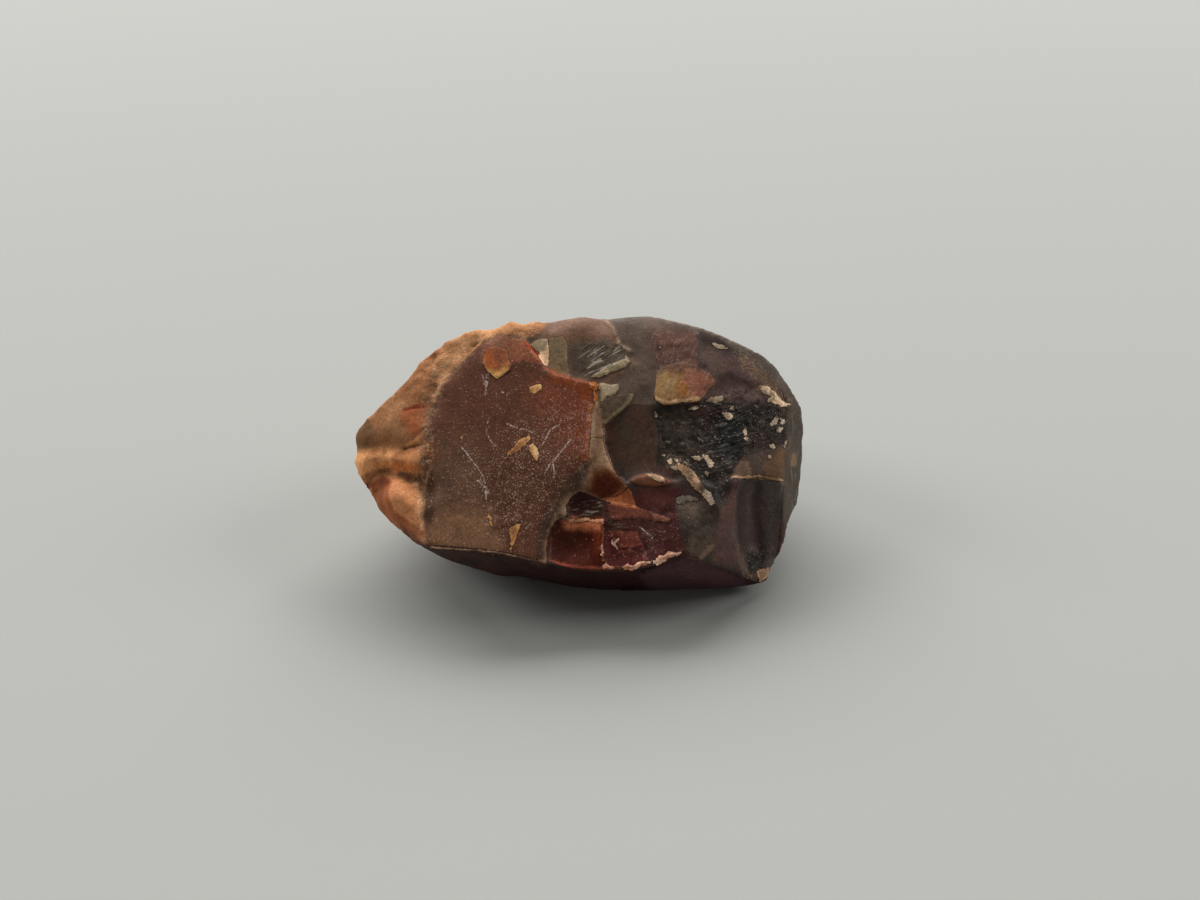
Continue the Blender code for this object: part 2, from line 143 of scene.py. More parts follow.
TAN_CHIPS = [
    [529, 388, 536, 384, 543, 384, 542, 388, 535, 394, 530, 392],
    [506, 456, 510, 451, 520, 440, 530, 435, 531, 439, 520, 449, 513, 454],
    [529, 446, 532, 444, 537, 447, 539, 453, 537, 462, 533, 458, 530, 451],
    [488, 514, 492, 518, 492, 528, 489, 522],
    [509, 528, 520, 523, 517, 536, 512, 550, 510, 551, 511, 540],
    [460, 437, 464, 436, 463, 439],
]
RUST_CHIPS = [
    [583, 452, 589, 451, 590, 459, 584, 461, 581, 458],
    [601, 524, 604, 524, 604, 562, 602, 562],
]
BROWN_CHIPS = [
    [757, 570, 769, 568, 768, 576, 760, 583],
]
PALE_CHIPS = [
    [653, 412, 656, 411, 657, 417, 654, 418],
    [688, 409, 694, 406, 702, 405, 696, 409],
    [706, 400, 712, 397, 722, 396, 725, 400, 717, 403, 708, 402],
    [722, 413, 727, 412, 733, 416, 732, 420, 727, 419],
    [731, 405, 734, 406, 733, 411, 730, 410],
    [742, 431, 746, 428, 747, 434, 744, 436],
    [745, 435, 749, 438, 748, 441, 744, 439],
    [697, 438, 701, 438, 705, 442, 701, 443],
    [702, 454, 708, 456, 714, 463, 713, 468, 709, 468, 706, 462],
    [704, 470, 709, 473, 708, 476, 705, 474],
    [768, 456, 771, 455, 771, 459, 768, 459],
    [769, 445, 773, 444, 776, 447, 771, 449],
    [784, 441, 787, 440, 786, 447, 784, 448],
    [770, 424, 774, 418, 777, 416, 779, 420, 776, 424, 772, 426],
    [778, 417, 784, 420, 785, 424, 781, 424],
    [777, 427, 783, 428, 781, 432, 777, 433],
    [752, 405, 756, 404, 757, 407],
    [721, 459, 724, 458, 723, 461],
    [780, 403, 788, 405, 786, 407, 780, 406],
    [759, 385, 768, 387, 776, 393, 781, 400, 791, 405, 782, 407, 774, 403, 767, 401, 771, 396, 763, 393],
    [610, 538, 614, 541, 619, 538, 616, 544, 618, 551, 613, 546],
    [559, 514, 564, 519, 558, 518],
    [531, 474, 534, 473, 533, 477],
    [526, 501, 533, 498, 530, 501],
    [667, 460, 671, 458, 673, 461, 670, 464],
    [674, 457, 678, 459, 677, 463],
    [670, 467, 675, 465, 680, 468, 676, 471],
    [682, 462, 686, 461, 688, 465],
    [662, 455, 665, 454, 664, 458],
    [690, 456, 698, 456, 704, 459, 698, 461],
    [501, 392, 506, 391, 504, 394],
    [657, 345, 661, 347, 659, 350],
    [712, 343, 722, 345, 730, 350, 722, 349, 714, 347],
]
RIM_CRUMBS = [
    [598, 566, 606, 563, 612, 567, 604, 569],
    [620, 568, 627, 564, 634, 566, 640, 561, 648, 562, 654, 559, 650, 564, 641, 566, 635, 570, 627, 570],
    [653, 562, 659, 555, 664, 556, 668, 551, 674, 553, 684, 550, 677, 556, 669, 557, 665, 562, 657, 565],
    [609, 569, 614, 566, 618, 569],
    [601, 545, 604, 548, 604, 560, 601, 556],
]
RIND_FACE = [
    340, 470, 345, 400, 400, 350, 430, 320, 520, 310, 548, 322, 545, 330, 524, 338, 497, 335, 474, 346,
    460, 364, 436, 396, 430, 428, 438, 452, 424, 470, 422, 535, 440, 560, 400, 560, 360, 540]
CREASE = [424, 484, 413, 479, 402, 474, 392, 470, 380, 471, 372, 477, 366, 486, 360, 496]

# Fine light scratches on the big facet; and fine dark lines: cracks beside it, and painted shadow
# under the raised edges of the side strip, the lip flake and the amber flake.
SCRATCHES = [
    [489, 419, 486, 426, 487, 434, 491, 441, 495, 446],
    [462, 448, 466, 452, 470, 458, 478, 468, 483, 476, 485, 484, 488, 492],
    [508, 424, 516, 428, 524, 429, 532, 432],
    [556, 426, 550, 430, 546, 438, 542, 445],
    [571, 439, 564, 448, 556, 458, 550, 464, 546, 471],
    [552, 461, 554, 468, 554, 477],
    [488, 375, 487, 384, 485, 393],
    [483, 376, 484, 381, 485, 386],
    [476, 480, 480, 482, 485, 489, 486, 498],
    [640, 527, 647, 533, 652, 538],
]
CRACKS_AND_SHADOW_LINES = [
    [590, 438, 595, 437, 602, 438],
    [603, 424, 604, 445, 610, 462, 618, 475, 626, 484],
    [731, 478, 742, 479, 758, 477, 772, 480, 783, 482],
    [654, 398, 658, 405, 672, 407, 690, 405, 701, 402],
    [484, 366, 488, 373, 497, 380, 510, 372],
]


# ---- what the outlines carry

# A field's row: outline, two mottled tones, roughness, and how soft its edge is in millimetres.
# A patch's row: outlines, two mottled tones, roughness, and height in millimetres.
# A stroke's row: line, tone, and width in millimetres.

# The soft ground, painted in this order over the rind and the stone's own mottle.
GROUND = [
    (RIND_FACE, (140, 97, 64), (122, 80, 52), 0.75, 0.5),
    ([352, 450, 354, 428, 375, 403, 400, 392, 425, 400, 424, 440, 400, 447],
     (136, 100, 68), (126, 88, 58), 0.75, 2.5),
    ([345, 455, 350, 425, 366, 420, 376, 430, 372, 452], (108, 78, 50), (98, 70, 46), 0.6, 0.8),
    ([398, 415, 418, 402, 428, 408, 426, 440, 408, 436], (142, 84, 53), (134, 78, 48), 0.7, 1.0),
    ([430, 360, 470, 328, 520, 318, 545, 326, 500, 334, 462, 362, 440, 380],
     (168, 124, 86), (150, 106, 70), 0.75, 0.8),
    ([352, 452, 390, 448, 428, 455, 430, 470, 400, 472, 372, 470, 356, 480],
     (190, 140, 94), (174, 122, 80), 0.75, 0.6),
    ([366, 492, 385, 476, 420, 486, 424, 536, 405, 532, 380, 520],
     (168, 116, 78), (158, 106, 70), 0.7, 0.6),
    ([374, 480, 386, 476, 392, 482, 388, 496, 396, 512, 412, 524, 424, 528, 424, 538, 404, 532, 380, 518,
     370, 500],
     (126, 74, 44), (118, 70, 42), 0.7, 0.35),
    ([394, 453, 408, 448, 427, 452, 431, 462, 426, 467, 408, 465, 392, 466, 386, 462],
     (150, 102, 65), (142, 95, 60), 0.7, 0.25),
    ([386, 464, 400, 462, 414, 464, 430, 458, 432, 468, 426, 473, 404, 471, 392, 472],
     (156, 96, 54), (144, 86, 48), 0.7, 0.3),
    # Painted shade in the crease under the rind's middle lobe.
    ([392, 474, 404, 472, 414, 474, 428, 475, 428, 484, 424, 489, 414, 485, 404, 479],
     (104, 72, 50), (84, 62, 46), 0.8, 0.35),
    ([405, 446, 412, 440, 423, 432, 424, 442, 416, 444], (176, 122, 78), (160, 108, 68), 0.7, 0.2),
    ([422, 500, 420, 440, 432, 400, 462, 362, 472, 368, 448, 400, 442, 440, 430, 470, 430, 500],
     (112, 82, 62), (84, 58, 44), 0.8, 0.8),
    ([424, 440, 438, 440, 442, 452, 432, 462, 424, 458], (98, 62, 40), (84, 52, 34), 0.85, 0.4),
    ([530, 346, 548, 322, 565, 312, 592, 312, 606, 316, 616, 330, 622, 345, 634, 356, 636, 366, 600, 386,
     560, 376, 545, 368],
     (103, 79, 64), (92, 70, 55), 0.5, 0.8),
    ([604, 312, 630, 308, 668, 312, 706, 320, 704, 365, 716, 384, 700, 402, 655, 406, 640, 420, 625, 440,
     600, 420, 612, 384, 636, 362, 622, 345],
     (88, 75, 67), (76, 66, 58), 0.45, 1.0),
    ([652, 330, 706, 332, 706, 380, 672, 364, 657, 372], (98, 72, 62), (84, 60, 54), 0.5, 1.4),
    ([566, 346, 580, 342, 604, 338, 628, 350, 628, 364, 600, 381, 572, 378],
     (68, 59, 50), (76, 66, 55), 0.45, 1.0),
    ([694, 318, 735, 332, 775, 355, 798, 385, 795, 402, 778, 385, 752, 366, 728, 348, 700, 340],
     (92, 83, 75), (82, 74, 66), 0.4, 0.8),
    ([697, 330, 720, 338, 742, 356, 738, 372, 716, 378, 697, 366], (64, 55, 52), (58, 50, 47), 0.45, 0.4),
    ([732, 356, 746, 358, 770, 378, 780, 398, 766, 396, 748, 378], (98, 78, 66), (88, 70, 60), 0.5, 0.8),
    ([698, 345, 722, 350, 740, 362, 768, 385, 772, 405, 735, 408, 700, 402, 716, 384, 702, 362],
     (82, 66, 64), (90, 74, 68), 0.5, 1.0),
    ([652, 404, 700, 402, 722, 400, 770, 404, 790, 410, 788, 440, 742, 458, 732, 480, 735, 500, 718, 512,
     690, 484, 668, 466, 640, 470, 650, 440],
     (43, 38, 34), (36, 34, 32), 0.42, 1.0),
    ([655, 410, 688, 410, 700, 432, 694, 462, 668, 462, 655, 446], (58, 51, 44), (50, 44, 39), 0.34, 1.2),
    ([694, 404, 722, 406, 720, 432, 700, 426], (46, 31, 30), (40, 31, 30), 0.4, 1.2),
    ([716, 420, 744, 416, 744, 440, 734, 462, 716, 454], (28, 31, 33), (34, 36, 36), 0.4, 1.2),
    ([748, 412, 786, 404, 786, 446, 752, 450], (46, 36, 30), (38, 32, 29), 0.5, 1.2),
    (LIP_FLAKE, (78, 66, 58), (72, 61, 53), 0.33, 0.25),
    ([731, 478, 734, 469, 742, 460, 748, 462, 752, 476], (108, 90, 76), (98, 80, 66), 0.33, 0.3),
    ([764, 464, 776, 450, 786, 446, 786, 484, 766, 480], (104, 82, 62), (98, 76, 58), 0.3, 0.8),
    ([600, 505, 634, 506, 632, 490, 650, 486, 675, 486, 690, 500, 684, 530, 690, 556, 672, 555, 655, 564,
     636, 567, 600, 570, 596, 520],
     (72, 41, 37), (62, 34, 33), 0.45, 1.0),
    ([676, 500, 702, 500, 718, 512, 722, 530, 714, 556, 690, 556, 680, 530],
     (56, 51, 46), (76, 66, 57), 0.4, 0.8),
    ([735, 480, 738, 510, 735, 540, 745, 572, 712, 562, 716, 530, 724, 500],
     (88, 67, 63), (76, 60, 56), 0.42, 0.8),
    ([786, 385, 815, 395, 815, 500, 790, 528, 781, 520, 784, 480, 787, 440, 788, 410],
     (76, 69, 60), (67, 61, 53), 0.45, 0.5),
    ([400, 524, 424, 543, 445, 551, 455, 562, 440, 570, 410, 560], (92, 58, 39), (76, 48, 34), 0.75, 0.8),
]
GROUND_STROKES = [
    ([404, 411, 413, 408, 425, 406], (124, 54, 32), 0.45),
    ([404, 449, 414, 446, 424, 443], (104, 62, 38), 0.4),
    ([354, 452, 366, 451, 376, 449], (150, 106, 70), 0.35),
    ([416, 484, 420, 498, 419, 512, 422, 528], (180, 136, 96), 0.6),
    ([446, 374, 438, 384, 433, 400], (172, 130, 96), 0.7),
    ([368, 487, 378, 482, 388, 482], (108, 58, 36), 0.8),
    # A painted highlight along the soft ridge beside the trough.
    ([701, 557, 708, 551, 712, 546], (108, 90, 74), 0.7),
    ([794, 456, 794, 464], (112, 92, 70), 0.9),
    ([605, 320, 613, 328, 620, 345, 630, 350], (128, 110, 94), 0.4),
]

# Layer one: the broad broken faces.
FACES = [
    ([BIG_FACET], (87, 56, 43), (82, 53, 40), 0.6, 0.0),
    ([SMOOTH_SCAR], (68, 52, 44), (62, 51, 45), 0.28, 0.0),
    ([RED_HOLLOW], (66, 34, 27), (72, 35, 27), 0.32, 0.0),
    ([STRIPED_SCAR], (56, 32, 25), (48, 29, 26), 0.4, 0.0),
    ([TROUGH], (76, 66, 63), (69, 60, 58), 0.3, 0.0),
    ([OLIVE_WINDOW], (120, 104, 80), (104, 90, 70), 0.3, -0.05),
    ([AMBER_FLAKE], (128, 98, 62), (116, 84, 54), 0.38, 0.3),
]
FACE_FIELDS = [
    ([424, 545, 423, 480, 440, 440, 470, 430, 500, 470, 505, 520, 480, 552],
     (91, 67, 51), (82, 60, 46), 0.62, 4.0),
    ([430, 548, 432, 516, 456, 508, 498, 516, 500, 552, 470, 550], (112, 83, 61), (102, 75, 55), 0.6, 1.6),
    ([422, 478, 432, 470, 436, 500, 432, 524, 423, 524], (68, 46, 35), (62, 42, 31), 0.65, 0.6),
    ([530, 380, 600, 380, 600, 440, 588, 466, 560, 440, 535, 410], (104, 58, 41), (98, 56, 41), 0.58, 4.0),
    ([480, 466, 520, 460, 548, 476, 540, 520, 505, 530, 486, 500], (76, 50, 37), (72, 47, 34), 0.6, 4.0),
    ([480, 342, 500, 330, 540, 345, 548, 362, 515, 358, 500, 366, 482, 364],
     (126, 88, 68), (112, 76, 58), 0.6, 1.0),
    ([505, 338, 530, 342, 545, 364, 524, 358, 508, 362], (128, 80, 58), (114, 70, 50), 0.55, 1.0),
    ([550, 372, 572, 379, 594, 386, 592, 404, 584, 402, 576, 392, 552, 382],
     (106, 54, 28), (96, 48, 26), 0.6, 0.6),
    ([572, 522, 603, 520, 606, 545, 600, 570, 590, 566, 586, 542], (64, 27, 18), (60, 24, 17), 0.3, 1.4),
    ([582, 522, 604, 520, 605, 548, 597, 552, 592, 534], (98, 42, 25), (86, 36, 22), 0.3, 0.9),
    # The red hollow's top edge under the red ledge: its orange, brightened with painted light from above.
    ([562, 519, 604, 519, 605, 532, 590, 530, 566, 529], (190, 118, 82), (168, 98, 66), 0.35, 0.8),
    # Painted shadow under the lip flake.
    ([738, 478, 784, 480, 783, 490, 760, 492, 738, 488], (60, 51, 49), (56, 49, 46), 0.3, 0.9),
    # Painted shade down the trough's middle groove and over its floor.
    ([750, 488, 757, 486, 762, 530, 768, 566, 758, 560, 752, 530], (68, 56, 55), (62, 52, 50), 0.26, 0.9),
    ([740, 556, 760, 552, 776, 560, 772, 578, 745, 576], (40, 35, 31), (36, 32, 28), 0.45, 0.9),
    ([655, 362, 700, 356, 718, 374, 700, 372, 672, 371, 656, 380], (104, 80, 60), (96, 72, 56), 0.4, 1.0),
    ([688, 362, 720, 372, 712, 396, 690, 404, 682, 384], (138, 94, 74), (124, 80, 64), 0.45, 1.0),
    ([654, 376, 666, 372, 675, 380, 674, 394, 664, 403, 654, 398],
     (146, 122, 84), (130, 104, 68), 0.38, 0.7),
    ([677, 384, 687, 384, 690, 394, 680, 397], (140, 94, 46), (130, 86, 44), 0.38, 0.6),
    ([664, 358, 720, 358, 722, 378, 708, 375, 697, 371, 684, 367, 670, 368],
     (100, 73, 62), (88, 62, 54), 0.45, 0.7),
    ([762, 480, 784, 480, 780, 574, 764, 574], (86, 78, 73), (82, 75, 71), 0.3, 0.6),
    # Painted shade on the trough's left side.
    ([736, 480, 748, 480, 746, 574, 736, 560], (58, 51, 49), (54, 47, 45), 0.3, 0.6),
]
FACE_STROKES = [
    # The big facet's top and right rims: their orange-red, brightened with a painted glow of light shining
    # through the thin edges.
    (FACET_RIM_TOP, (118, 60, 28), 0.6),
    (FACET_RIM_BRIGHT, (128, 54, 16), 0.4),
    (FACET_RIM_RIGHT, (96, 50, 24), 0.28),
    (FACET_SPARKLE_RIM, (146, 92, 72), 0.5),
    (FACET_STEP, (96, 50, 36), 0.4),
    ([424, 544, 423, 510, 425, 484, 431, 466], (124, 90, 66), 0.35),
    ([489, 508, 490, 520, 492, 540], (112, 82, 66), 0.3),
    ([656, 399, 668, 403, 684, 401, 698, 399], (190, 156, 118), 0.5),
    ([716, 384, 708, 390, 703, 397], (150, 112, 84), 0.35),
    # The front rim's red, with a painted glow of light shining through its thin edge.
    ([549, 562, 575, 567, 604, 568], (150, 78, 62), 0.4),
]

# Layer two: what lies on or beside them.
STEPS = [
    ([SIDE_STRIP], (138, 112, 88), (134, 106, 82), 0.33, 0.0),
    ([BEIGE_STRIP, BEIGE_CORNER], (204, 174, 138), (172, 146, 116), 0.45, 0.12),
    ([PALE_FAN, PALE_STREAK], (146, 133, 107), (116, 104, 82), 0.4, 0.3),
    (PALE_SLIVERS, (150, 142, 122), (112, 102, 84), 0.4, 0.0),
    ([CORNER_FLAKE], (80, 37, 33), (70, 34, 32), 0.38, 0.2),
    ([FRONT_FACE], (44, 25, 24), (50, 34, 33), 0.5, 0.0),
    ([OLIVE_FLAKE], (82, 70, 56), (72, 61, 50), 0.35, 0.3),
    ([ORANGE_FLAKE], (120, 72, 50), (128, 76, 50), 0.42, 0.35),
    ([SHORT_FLAKE], (90, 57, 41), (80, 50, 37), 0.45, 0.4),
    ([LONG_RIDGE], (98, 56, 45), (84, 48, 40), 0.5, 0.35),
    # The lip flake's lower edge, with a painted highlight.
    ([LIP_HIGHLIGHT_RIM], (150, 122, 92), (132, 104, 78), 0.4, 0.3),
]
STEP_FIELDS = [
    ([594, 458, 574, 470, 554, 488, 541, 512, 534, 540, 534, 564, 540, 564, 545, 530, 556, 502, 570, 484,
     586, 472],
     (72, 50, 39), (68, 47, 36), 0.5, 0.9),
    ([592, 470, 604, 466, 628, 474, 628, 494, 604, 502, 584, 494], (84, 48, 28), (90, 56, 36), 0.28, 1.0),
    ([594, 476, 610, 472, 624, 482, 618, 494, 604, 498, 592, 490], (58, 27, 16), (66, 31, 19), 0.28, 0.8),
    (BLOB_RIM, (142, 84, 54), (118, 66, 42), 0.4, 0.4),
    ([594, 500, 608, 501, 611, 520, 594, 522], (62, 38, 32), (54, 34, 30), 0.45, 0.7),
    ([617, 531, 637, 531, 640, 540, 634, 545, 626, 546, 620, 541], (114, 60, 48), (98, 52, 42), 0.4, 0.5),
    ([652, 511, 672, 516, 670, 524, 655, 521], (126, 84, 68), (108, 70, 56), 0.5, 0.4),
    ([590, 470, 582, 492, 566, 498, 556, 520, 546, 550, 546, 566, 532, 562, 538, 530, 560, 488, 578, 470],
     (66, 52, 43), (68, 51, 41), 0.42, 1.2),
    ([480, 372, 484, 358, 488, 368, 497, 372, 507, 364, 514, 372, 497, 384],
     (166, 120, 68), (150, 104, 56), 0.4, 0.45),
    ([490, 348, 506, 350, 506, 362, 496, 367, 489, 362], (126, 80, 58), (116, 70, 50), 0.4, 0.8),
    ([484, 354, 491, 352, 496, 366, 490, 370, 485, 366], (148, 80, 40), (138, 74, 38), 0.4, 0.5),
    ([483, 367, 490, 370, 497, 374, 507, 368, 511, 370, 497, 382],
     (204, 158, 98), (182, 136, 80), 0.4, 0.3),
    ([529, 343, 540, 337, 549, 338, 545, 351, 537, 353], (140, 126, 102), (116, 102, 80), 0.45, 0.3),
    # Painted shade in a small cavity under the rim crumbs.
    ([640, 568, 652, 564, 660, 567, 655, 575, 642, 575], (22, 12, 13), (26, 15, 15), 0.6, 0.4),
    ([410, 545, 470, 548, 520, 560, 480, 580, 420, 575], (46, 34, 32), (58, 40, 34), 0.6, 1.5),
    ([640, 575, 690, 556, 745, 580, 740, 592, 650, 592], (74, 52, 54), (66, 46, 50), 0.42, 0.8),
]
STEP_STROKES = [
    (OLIVE_FLAKE_EDGE, (124, 112, 84), 0.45),
    ([602, 500, 612, 502, 626, 504, 637, 507], (172, 112, 74), 0.3),
    ([604, 495, 614, 497, 622, 493, 628, 487], (60, 30, 20), 0.35),
    ([608, 531, 622, 531, 638, 531], (124, 72, 56), 0.3),
    ([618, 552, 632, 551, 644, 556], (110, 62, 52), 0.3),
    ([612, 534, 615, 541, 622, 546, 631, 546, 640, 544], (136, 78, 62), 0.3),
    ([638, 531, 641, 541, 646, 552, 649, 561], (108, 58, 46), 0.3),
    # The front rim's red, with a painted glow of light shining through its thin edge.
    ([606, 568, 622, 569, 640, 566], (150, 84, 70), 0.5),
    # The big facet's lower edge, with a painted highlight.
    (FRONT_HIGHLIGHT_EDGE, (156, 124, 102), 0.38),
    ([690, 556, 712, 563, 735, 571, 760, 581], (84, 72, 66), 0.4),
]

# Layer three: chips, crusts and rims.
CHIPS = [
    (CORNER_CRUMBS, (150, 90, 44), (112, 62, 32), 0.5, 0.2),
    ([SHORT_FLAKE_CREAM], (140, 118, 94), (124, 98, 76), 0.5, 0.3),
    ([PALE_RIDGE], (172, 146, 118), (126, 100, 78), 0.6, 0.45),
    ([SHORT_RIDGE], (136, 127, 114), (90, 82, 73), 0.6, 0.3),
    ([RED_LEDGE], (192, 140, 106), (150, 92, 62), 0.45, 0.3),
    (TAN_CHIPS, (186, 142, 92), (136, 90, 50), 0.55, 0.3),
    (RUST_CHIPS, (126, 70, 38), (104, 56, 34), 0.5, 0.25),
    (BROWN_CHIPS, (160, 130, 102), (136, 108, 86), 0.6, 0.2),
    (PALE_CHIPS, (166, 150, 128), (130, 114, 96), 0.6, 0.22),
    (RIM_CRUMBS, (240, 200, 174), (184, 130, 106), 0.65, 0.3),
]
CHIP_FIELDS = [
    ([504, 458, 510, 450, 520, 441, 523, 446, 514, 455], (138, 92, 54), (120, 80, 48), 0.5, 0.4),
    ([534, 443, 541, 450, 538, 464, 535, 456], (222, 188, 134), (192, 152, 100), 0.5, 0.25),
    ([530, 384, 545, 383, 543, 387, 533, 388], (206, 164, 110), (180, 138, 88), 0.5, 0.25),
    ([640, 564, 650, 562, 648, 566, 640, 567], (120, 70, 58), (90, 50, 44), 0.6, 0.2),
    ([661, 558, 668, 555, 677, 555, 668, 559], (190, 142, 120), (160, 114, 94), 0.6, 0.2),
    ([607, 535, 622, 535, 622, 554, 607, 554], (206, 174, 152), (176, 142, 122), 0.5, 0.3),
    ([702, 484, 710, 486, 720, 500, 716, 510, 706, 500], (150, 136, 118), (116, 102, 88), 0.6, 0.4),
    # The pale ridge's upper-left part: its brown, darkened with painted shade.
    ([676, 462, 690, 464, 700, 476, 694, 480, 684, 474, 678, 472], (108, 82, 60), (140, 114, 88), 0.6, 0.4),
    ([556, 510, 568, 514, 568, 530, 556, 524], (96, 84, 66), (84, 66, 50), 0.5, 0.4),
    ([765, 411, 788, 411, 788, 436, 765, 436], (188, 178, 158), (148, 136, 118), 0.5, 0.3),
    ([757, 383, 783, 383, 793, 408, 765, 406], (200, 178, 148), (156, 134, 108), 0.6, 0.3),
    ([688, 478, 691, 474, 693, 477, 690, 482], (74, 56, 44), (84, 64, 50), 0.6, 0.15),
    ([699, 489, 703, 482, 706, 488, 702, 494], (80, 64, 52), (92, 74, 60), 0.6, 0.15),
]

# Where white specks lie on the stone, how thickly from 0 to 1, and how soft the field's edge is.
SPECKLED = [
    (BIG_FACET, 0.12, 0.6),
    ([582, 400, 592, 398, 592, 456, 580, 456], 1.0, 0.5),
    ([500, 430, 560, 400, 592, 410, 590, 460, 560, 492, 545, 530, 500, 540, 490, 490], 0.8, 4.0),
    ([450, 440, 480, 440, 510, 520, 490, 546, 450, 500], 0.45, 3.0),
    ([700, 404, 790, 400, 786, 445, 735, 470, 735, 500, 700, 500], 0.12, 2.0),
    ([652, 330, 699, 334, 699, 368, 655, 372], 0.12, 1.0),
    ([600, 505, 690, 500, 690, 556, 640, 568, 545, 566, 560, 515], 0.05, 1.0),
    ([738, 545, 774, 545, 770, 580, 745, 576], 0.2, 1.0),
]

# Where parallel pale streaks run: outline, strength, softness, slope in degrees, size.
STREAKED = [
    ([580, 352, 592, 343, 606, 340, 620, 346, 630, 352, 625, 360, 600, 372, 586, 378, 580, 364],
     1.0, 0.8, 33.0, 1.9),
    ([566, 500, 602, 500, 602, 516, 570, 516], 0.8, 0.5, 4.0, 1.5),
    ([656, 362, 718, 372, 704, 398, 656, 406], 0.3, 0.5, 68.0, 1.3),
    ([597, 384, 620, 383, 618, 394, 600, 404], 0.8, 0.3, 30.0, 1.2),
    ([644, 526, 662, 526, 664, 548, 648, 546], 0.45, 0.8, -24.0, 1.0),
    ([700, 404, 786, 410, 784, 440, 740, 456, 728, 480, 700, 480, 696, 440], 0.22, 1.0, 14.0, 1.3),
    ([604, 520, 630, 522, 634, 530, 606, 530], 0.35, 0.5, -4.0, 1.2),
    ([788, 400, 810, 400, 812, 490, 790, 520], 0.3, 0.6, 86.0, 1.5),
    ([652, 332, 699, 334, 699, 366, 655, 370], 0.25, 0.8, 60.0, 1.0),
]

# Where the broken surface is rough, how strongly from 0 to 1, and how soft the field's edge is.
ROUGH_GROUND = [
    ([655, 406, 700, 402, 722, 392, 770, 384, 786, 400, 786, 440, 742, 456, 732, 478, 716, 500, 690, 480,
     668, 462, 656, 440],
     1.0, 1.0),
    ([600, 503, 634, 506, 690, 498, 716, 500, 712, 540, 690, 552, 650, 560, 606, 566], 0.5, 1.0),
    ([580, 344, 606, 336, 634, 352, 630, 366, 590, 382, 580, 366], 0.4, 0.8),
    ([654, 334, 698, 338, 712, 376, 700, 400, 656, 404], 0.35, 0.8),
    ([738, 548, 774, 548, 770, 582, 745, 578], 0.5, 0.8),
]

# Where the rind's edge crumbles.
CRUMBLED = [
    ([436, 360, 462, 340, 474, 346, 460, 366, 446, 384, 436, 402, 430, 430, 438, 450, 430, 466, 424, 490,
     424, 540, 414, 532, 416, 490, 412, 470, 420, 440, 420, 400],
     1.0, 1.0),
    ([470, 344, 490, 334, 530, 326, 545, 332, 528, 340, 500, 336, 480, 344], 0.7, 0.8),
    ([730, 352, 745, 352, 772, 374, 794, 405, 782, 410, 760, 390, 742, 372], 0.6, 0.6),
    ([664, 456, 682, 456, 692, 468, 684, 474, 668, 470], 0.6, 0.5),
]

# Creases and crests: line, height and width in millimetres. A crease has a negative height.
MIDDLE_CREST = [354, 452, 370, 449, 390, 449, 408, 447, 421, 440]
SMALL_CREASE = [380, 471, 385, 482, 376, 491, 364, 496]
RELIEF_LINES = [
    (CREASE, -0.35, 0.5),
    (SMALL_CREASE, -0.25, 0.4),
    (MIDDLE_CREST, 0.12, 0.7),
    ([404, 449, 414, 446, 424, 443], -0.18, 0.4),
    ([385, 452, 388, 462, 384, 470], -0.3, 0.5),
    ([404, 410, 412, 408, 424, 407], -0.15, 0.3),
    ([433, 357, 440, 372, 434, 392], -0.4, 0.8),
    ([470, 333, 476, 342, 470, 352], -0.3, 0.7),
    ([603, 318, 613, 328, 620, 345, 632, 352], 0.15, 0.35),
    ([697, 334, 699, 350, 700, 366], 0.2, 0.5),
    ([655, 406, 654, 425, 656, 450, 657, 470], 0.15, 0.5),
    ([757, 484, 752, 505, 757, 530, 762, 560], -0.35, 1.0),
    ([768, 488, 768, 520, 768, 560], 0.15, 1.0),
]

# Steps: line, which side is raised, height, and how far the raised side reaches.
RELIEF_STEPS = [
    (FACET_STEP, 1.0, 0.1, 4.0),
    ([734, 478, 742, 479, 758, 477, 772, 480, 782, 482], 1.0, 0.3, 4.0),
    ([490, 540, 492, 528, 512, 526, 520, 522], -1.0, 0.1, 3.0),
]


# ---- measures and tones

# The rind covers the stone beyond this line, seen from above, in millimetres.
RIND_LINE = [-29.5, -60.0, -29.5, -5.2, -26.5, 2.7, -23.3, 6.8, -19.9, 9.8, -15.9, 11.6,
             -10.6, 12.7, -7.5, 15.2, -10.5, 27.2, -10.5, 80.0]
RIND_SOFT = 0.6
RIND_WOBBLE = 2.2

# The skin's own measures, in millimetres. A pair is the two ends of a ramp.
JOIN_GAP = 0.001
VOXEL = 0.42
SHARP_EDGE = math.radians(38.0)
SHARP_STEP = 0.3
ROUNDING_PASSES = 22
EDGE_KEEP = (0.2, 1.0)
EDGE_SHARE = 0.25
CREST = (0.4, 0.15)
CREST_SOFT = 2.0
WIDE_PASSES = 30
SMOOTHING = 0.5
SEEN_RAMP = (-0.12, 0.06)
FAR = 50.0
BOX_SPARE = 0.005

# Noises through space: the lumps' size in millimetres, the seed and, for some, the layers.
# NOISE_SEED fixes the planes' tilts, which would otherwise differ from run to run.
NOISE_SEED = 7
NOISE_STRIDE = 17.3
TILT_STRIDE = 3.7
MOTTLE = (5.0, 1)
WOBBLE = (1.6, 5, 2)
RIND_PATCHES = (7.0, 31)
EDGE_CHIPS = (2.2, 71)

# How soft and ragged the painted fields, strokes and layers are.
MOTTLE_RAMP = (-0.5, 0.5)
FIELD_RAGGED = 0.5
SPREAD_RAGGED = 0.4
STROKE_RAGGED = 0.25
STROKE_CORE = 0.2
EDGE_CLIP = 3.0
FEATHERED = 0.3
TONE_GAIN = (1.77, 1.65, 1.59)

